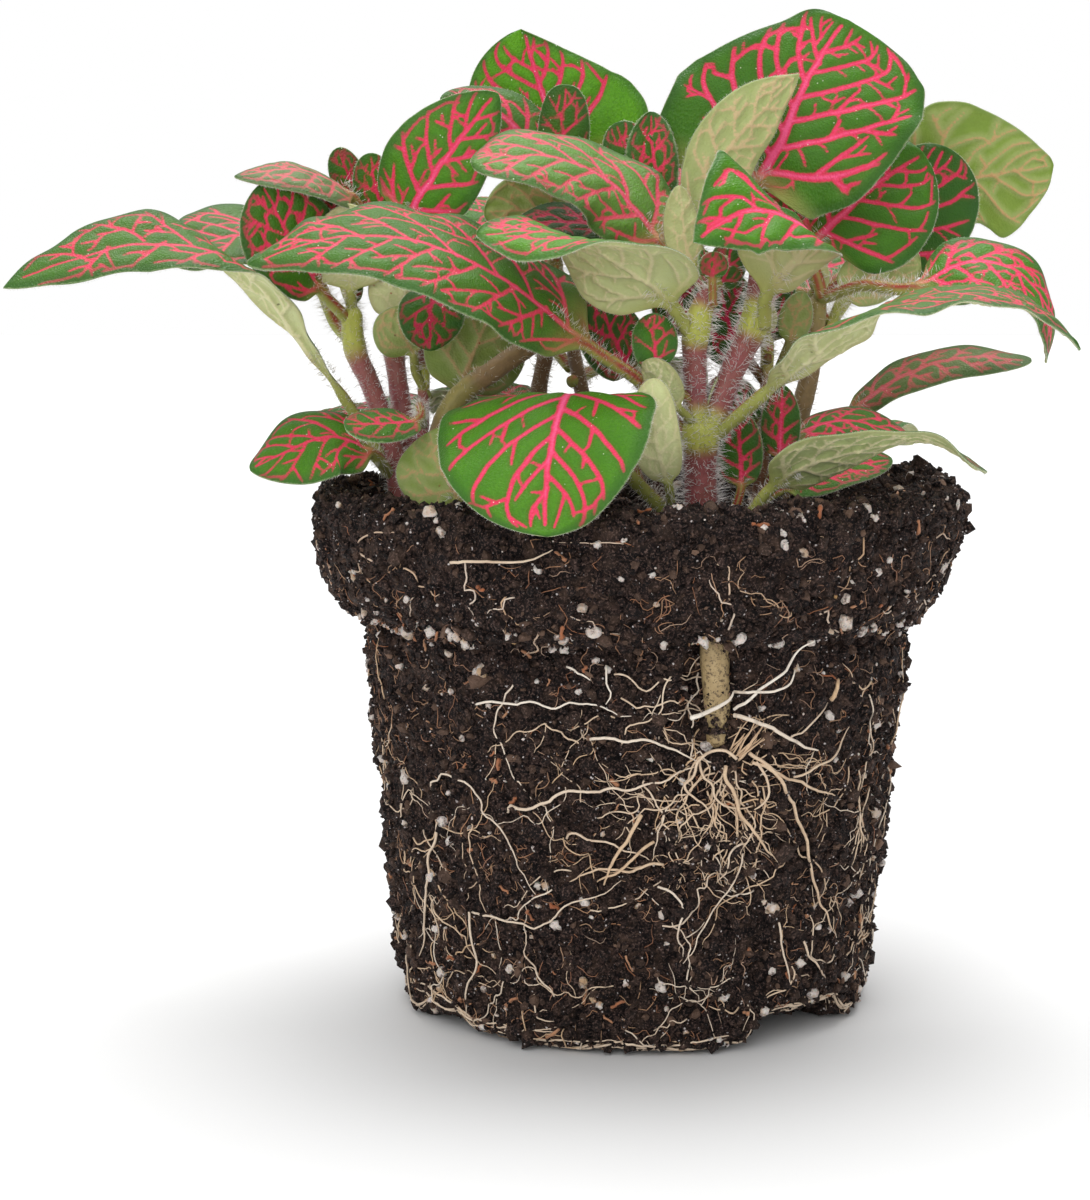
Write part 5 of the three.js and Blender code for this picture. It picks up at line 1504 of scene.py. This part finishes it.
def add_roots(rng):
    pile = Pile()
    for radius, white, lift, points in HAND_ROOTS:
        spots = np.array([on_wall(*point) for point in read(points)])
        root(pile, spots[:, 0], spots[:, 1], radius * 0.82, rng, lift + 0.35, 7,
             white=white, rust=0, dirty=0.5)
    centre = on_wall(732, 756)
    for _ in range(FAN_COUNT):
        away = math.radians(rng.uniform(-200, 20))
        far = rng.uniform(1.5, 9)
        start = (centre[0] + far * math.cos(away) / ALONG, centre[1] + far * math.sin(away))
        long = rng.uniform(6, 22) * (1.1 if math.sin(away) < 0 else 0.6)
        branching(pile, rng, start, away + rng.normal() * 0.5, long, rng.uniform(0.1, 0.21),
                  white=rng.uniform(0, 0.35), rust=0, dirty=1)
    for _ in range(BUNDLE_COUNT):
        start = (centre[0] + rng.normal() * 0.8, centre[1] + 0.5 + rng.normal() * 0.5)
        x, z, _ = wander(rng, start, math.radians(rng.normal(52, 8)), rng.uniform(3, 8), 0.03)
        root(pile, x, z, 0.16, rng, 0.4 + rng.uniform(0, 0.8), white=0.1, rust=0.1, dirty=0.2)
    for _ in range(WEB_COUNT):
        start = (rng.uniform(-180, 180), 2 + 64 * rng.uniform() ** 1.3)
        heading = rng.uniform(0, 2 * math.pi) if rng.uniform() < 0.5 else rng.normal(-1.57, 0.6)
        branching(pile, rng, start, heading, rng.uniform(7, 28), rng.uniform(0.09, 0.18), 1,
                  white=rng.uniform(0, 0.7), rust=0, dirty=0.9)
    for _ in range(FOOT_COUNT):
        start = (rng.uniform(-180, 180), rng.uniform(0.8, 3.0))
        heading = rng.normal(0, 0.1) + math.pi * rng.integers(0, 2)
        x, z, _ = wander(rng, start, heading, rng.uniform(8, 26), 0.04)
        root(pile, x, z, rng.uniform(0.14, 0.26), rng, white=0.4, rust=0, dirty=0.7)
    for _ in range(RIM_COUNT):
        start = (rng.uniform(-180, 180), rng.uniform(73, 88))
        x, z, _ = wander(rng, start, rng.uniform(0, 6.28), rng.uniform(4, 14), 0.3)
        root(pile, x, z, rng.uniform(0.1, 0.2), rng, white=rng.uniform(0, 0.8), rust=0.2,
             dirty=0.6)
    pile.make("surface_roots", [ROOT_SKIN], "root")

    threads = Pile()
    for k in range(THREAD_COUNT):
        start = (rng.uniform(-180, 180), rng.uniform(1, 88))
        x, z, _ = wander(rng, start, rng.uniform(0, 6.28), rng.uniform(3, 9), 0.5)
        root(threads, x, z, rng.uniform(0.06, 0.11), rng, 0.1, 3,
             white=rng.uniform(0, 0.5) * (k % 3 == 0), rust=rng.uniform(0.3, 0.9), dirty=0.7)
    threads.make("soil_threads", [ROOT_SKIN], "root")


def add_stub(rng):
    pile = Pile()
    path = Route(read("11.4 -44.6 71.5, 11.6 -44.8 66, 12 -44.6 60, 12.1 -43.8 54"))
    where = np.arange(0, path.total, 0.4)
    line = path.at(where)
    radii = np.interp(line[:, 2], [54, 60, 71], [1.7, 2.1, 2.4])
    radii = radii * (1 + 0.07 * noise(line, 1.6, 4))
    tube(pile, line, radii, 24, white=0.25, rust=0, dirty=0.8)
    pile.make("buried_stem", [STUB], "root", ["buried_stem_and_roots"])
    cover = Pile()
    n = STUB_CRUMB_COUNT
    turn = rng.uniform(-math.pi, 0, n)
    z = 56 + 14 * rng.uniform(size=n) ** 3
    spot = np.stack([12 + 2 * np.cos(turn), -44.6 + 2 * np.sin(turn), z], 1)
    size = rng.uniform(0.12, 0.45, n)
    grains(cover, spot, size, 0.5, 0.3, rng, tone=rng.gamma(0.3, 0.3, n))
    cover.make("crumbs_on_stub", [CRUMBS], "soil", smooth_shading=False)


random = np.random.default_rng(7)
shoots = [shoot for _, group, _, _ in STEMS.values() for shoot in group]
up = np.array([0, 0, 1])
for number, shoot in enumerate(shoots):
    foot = np.array(shoot[-1][:3]) - 1.5 * up
    for k, turn in enumerate(random.uniform(0, 6.3) + np.array([0, 2.6])):
        way = np.array([math.cos(turn), math.sin(turn), 0])
        LEAVES[f"tip_{number}_{k}"] = dict(
            stalk=[foot, foot + way * 0.7 + up * 1.2],
            midrib=[foot + way * 1.6 + up * 4, foot + way * 3 + up * (6.4 + k)],
            face=[-way + up * 0.3, -way + up * 0.8],
            halves=[(2, 15, 10)], shape=[(0.45, 0.6)],
        )
piles = {"margin": Pile(), "stalk": Pile(), "stem": Pile()}
for index, (name, spec) in enumerate(LEAVES.items()):
    unseen = name.startswith("back_") and name != "back_centre"
    add_leaf(name, spec, index + 1, BACK_GRID if unseen else GRID, piles)
for name in STEMS:
    add_stem(name, random, piles["stem"])
piles["margin"].make("leaf_margin_hairs", [HAIR], "leaf")
piles["stalk"].make("leaf_stalk_hairs", [HAIR], "leaf")
piles["stem"].make("stem_hairs", [HAIR], "stem")
ball = add_ball(random)
add_grains(ball, random)
add_roots(random)
add_stub(random)

floor_mesh = bpy.data.meshes.new("floor")
floor_mesh.from_pydata([(-6, -6, 0), (6, -6, 0), (6, 6, 0), (-6, 6, 0)], [], [(0, 1, 2, 3)])
floor_mesh.materials.append(floor_paint())
floor = bpy.data.objects.new("floor", floor_mesh)
scene.collection.objects.link(floor)

bpy.context.view_layer.update()
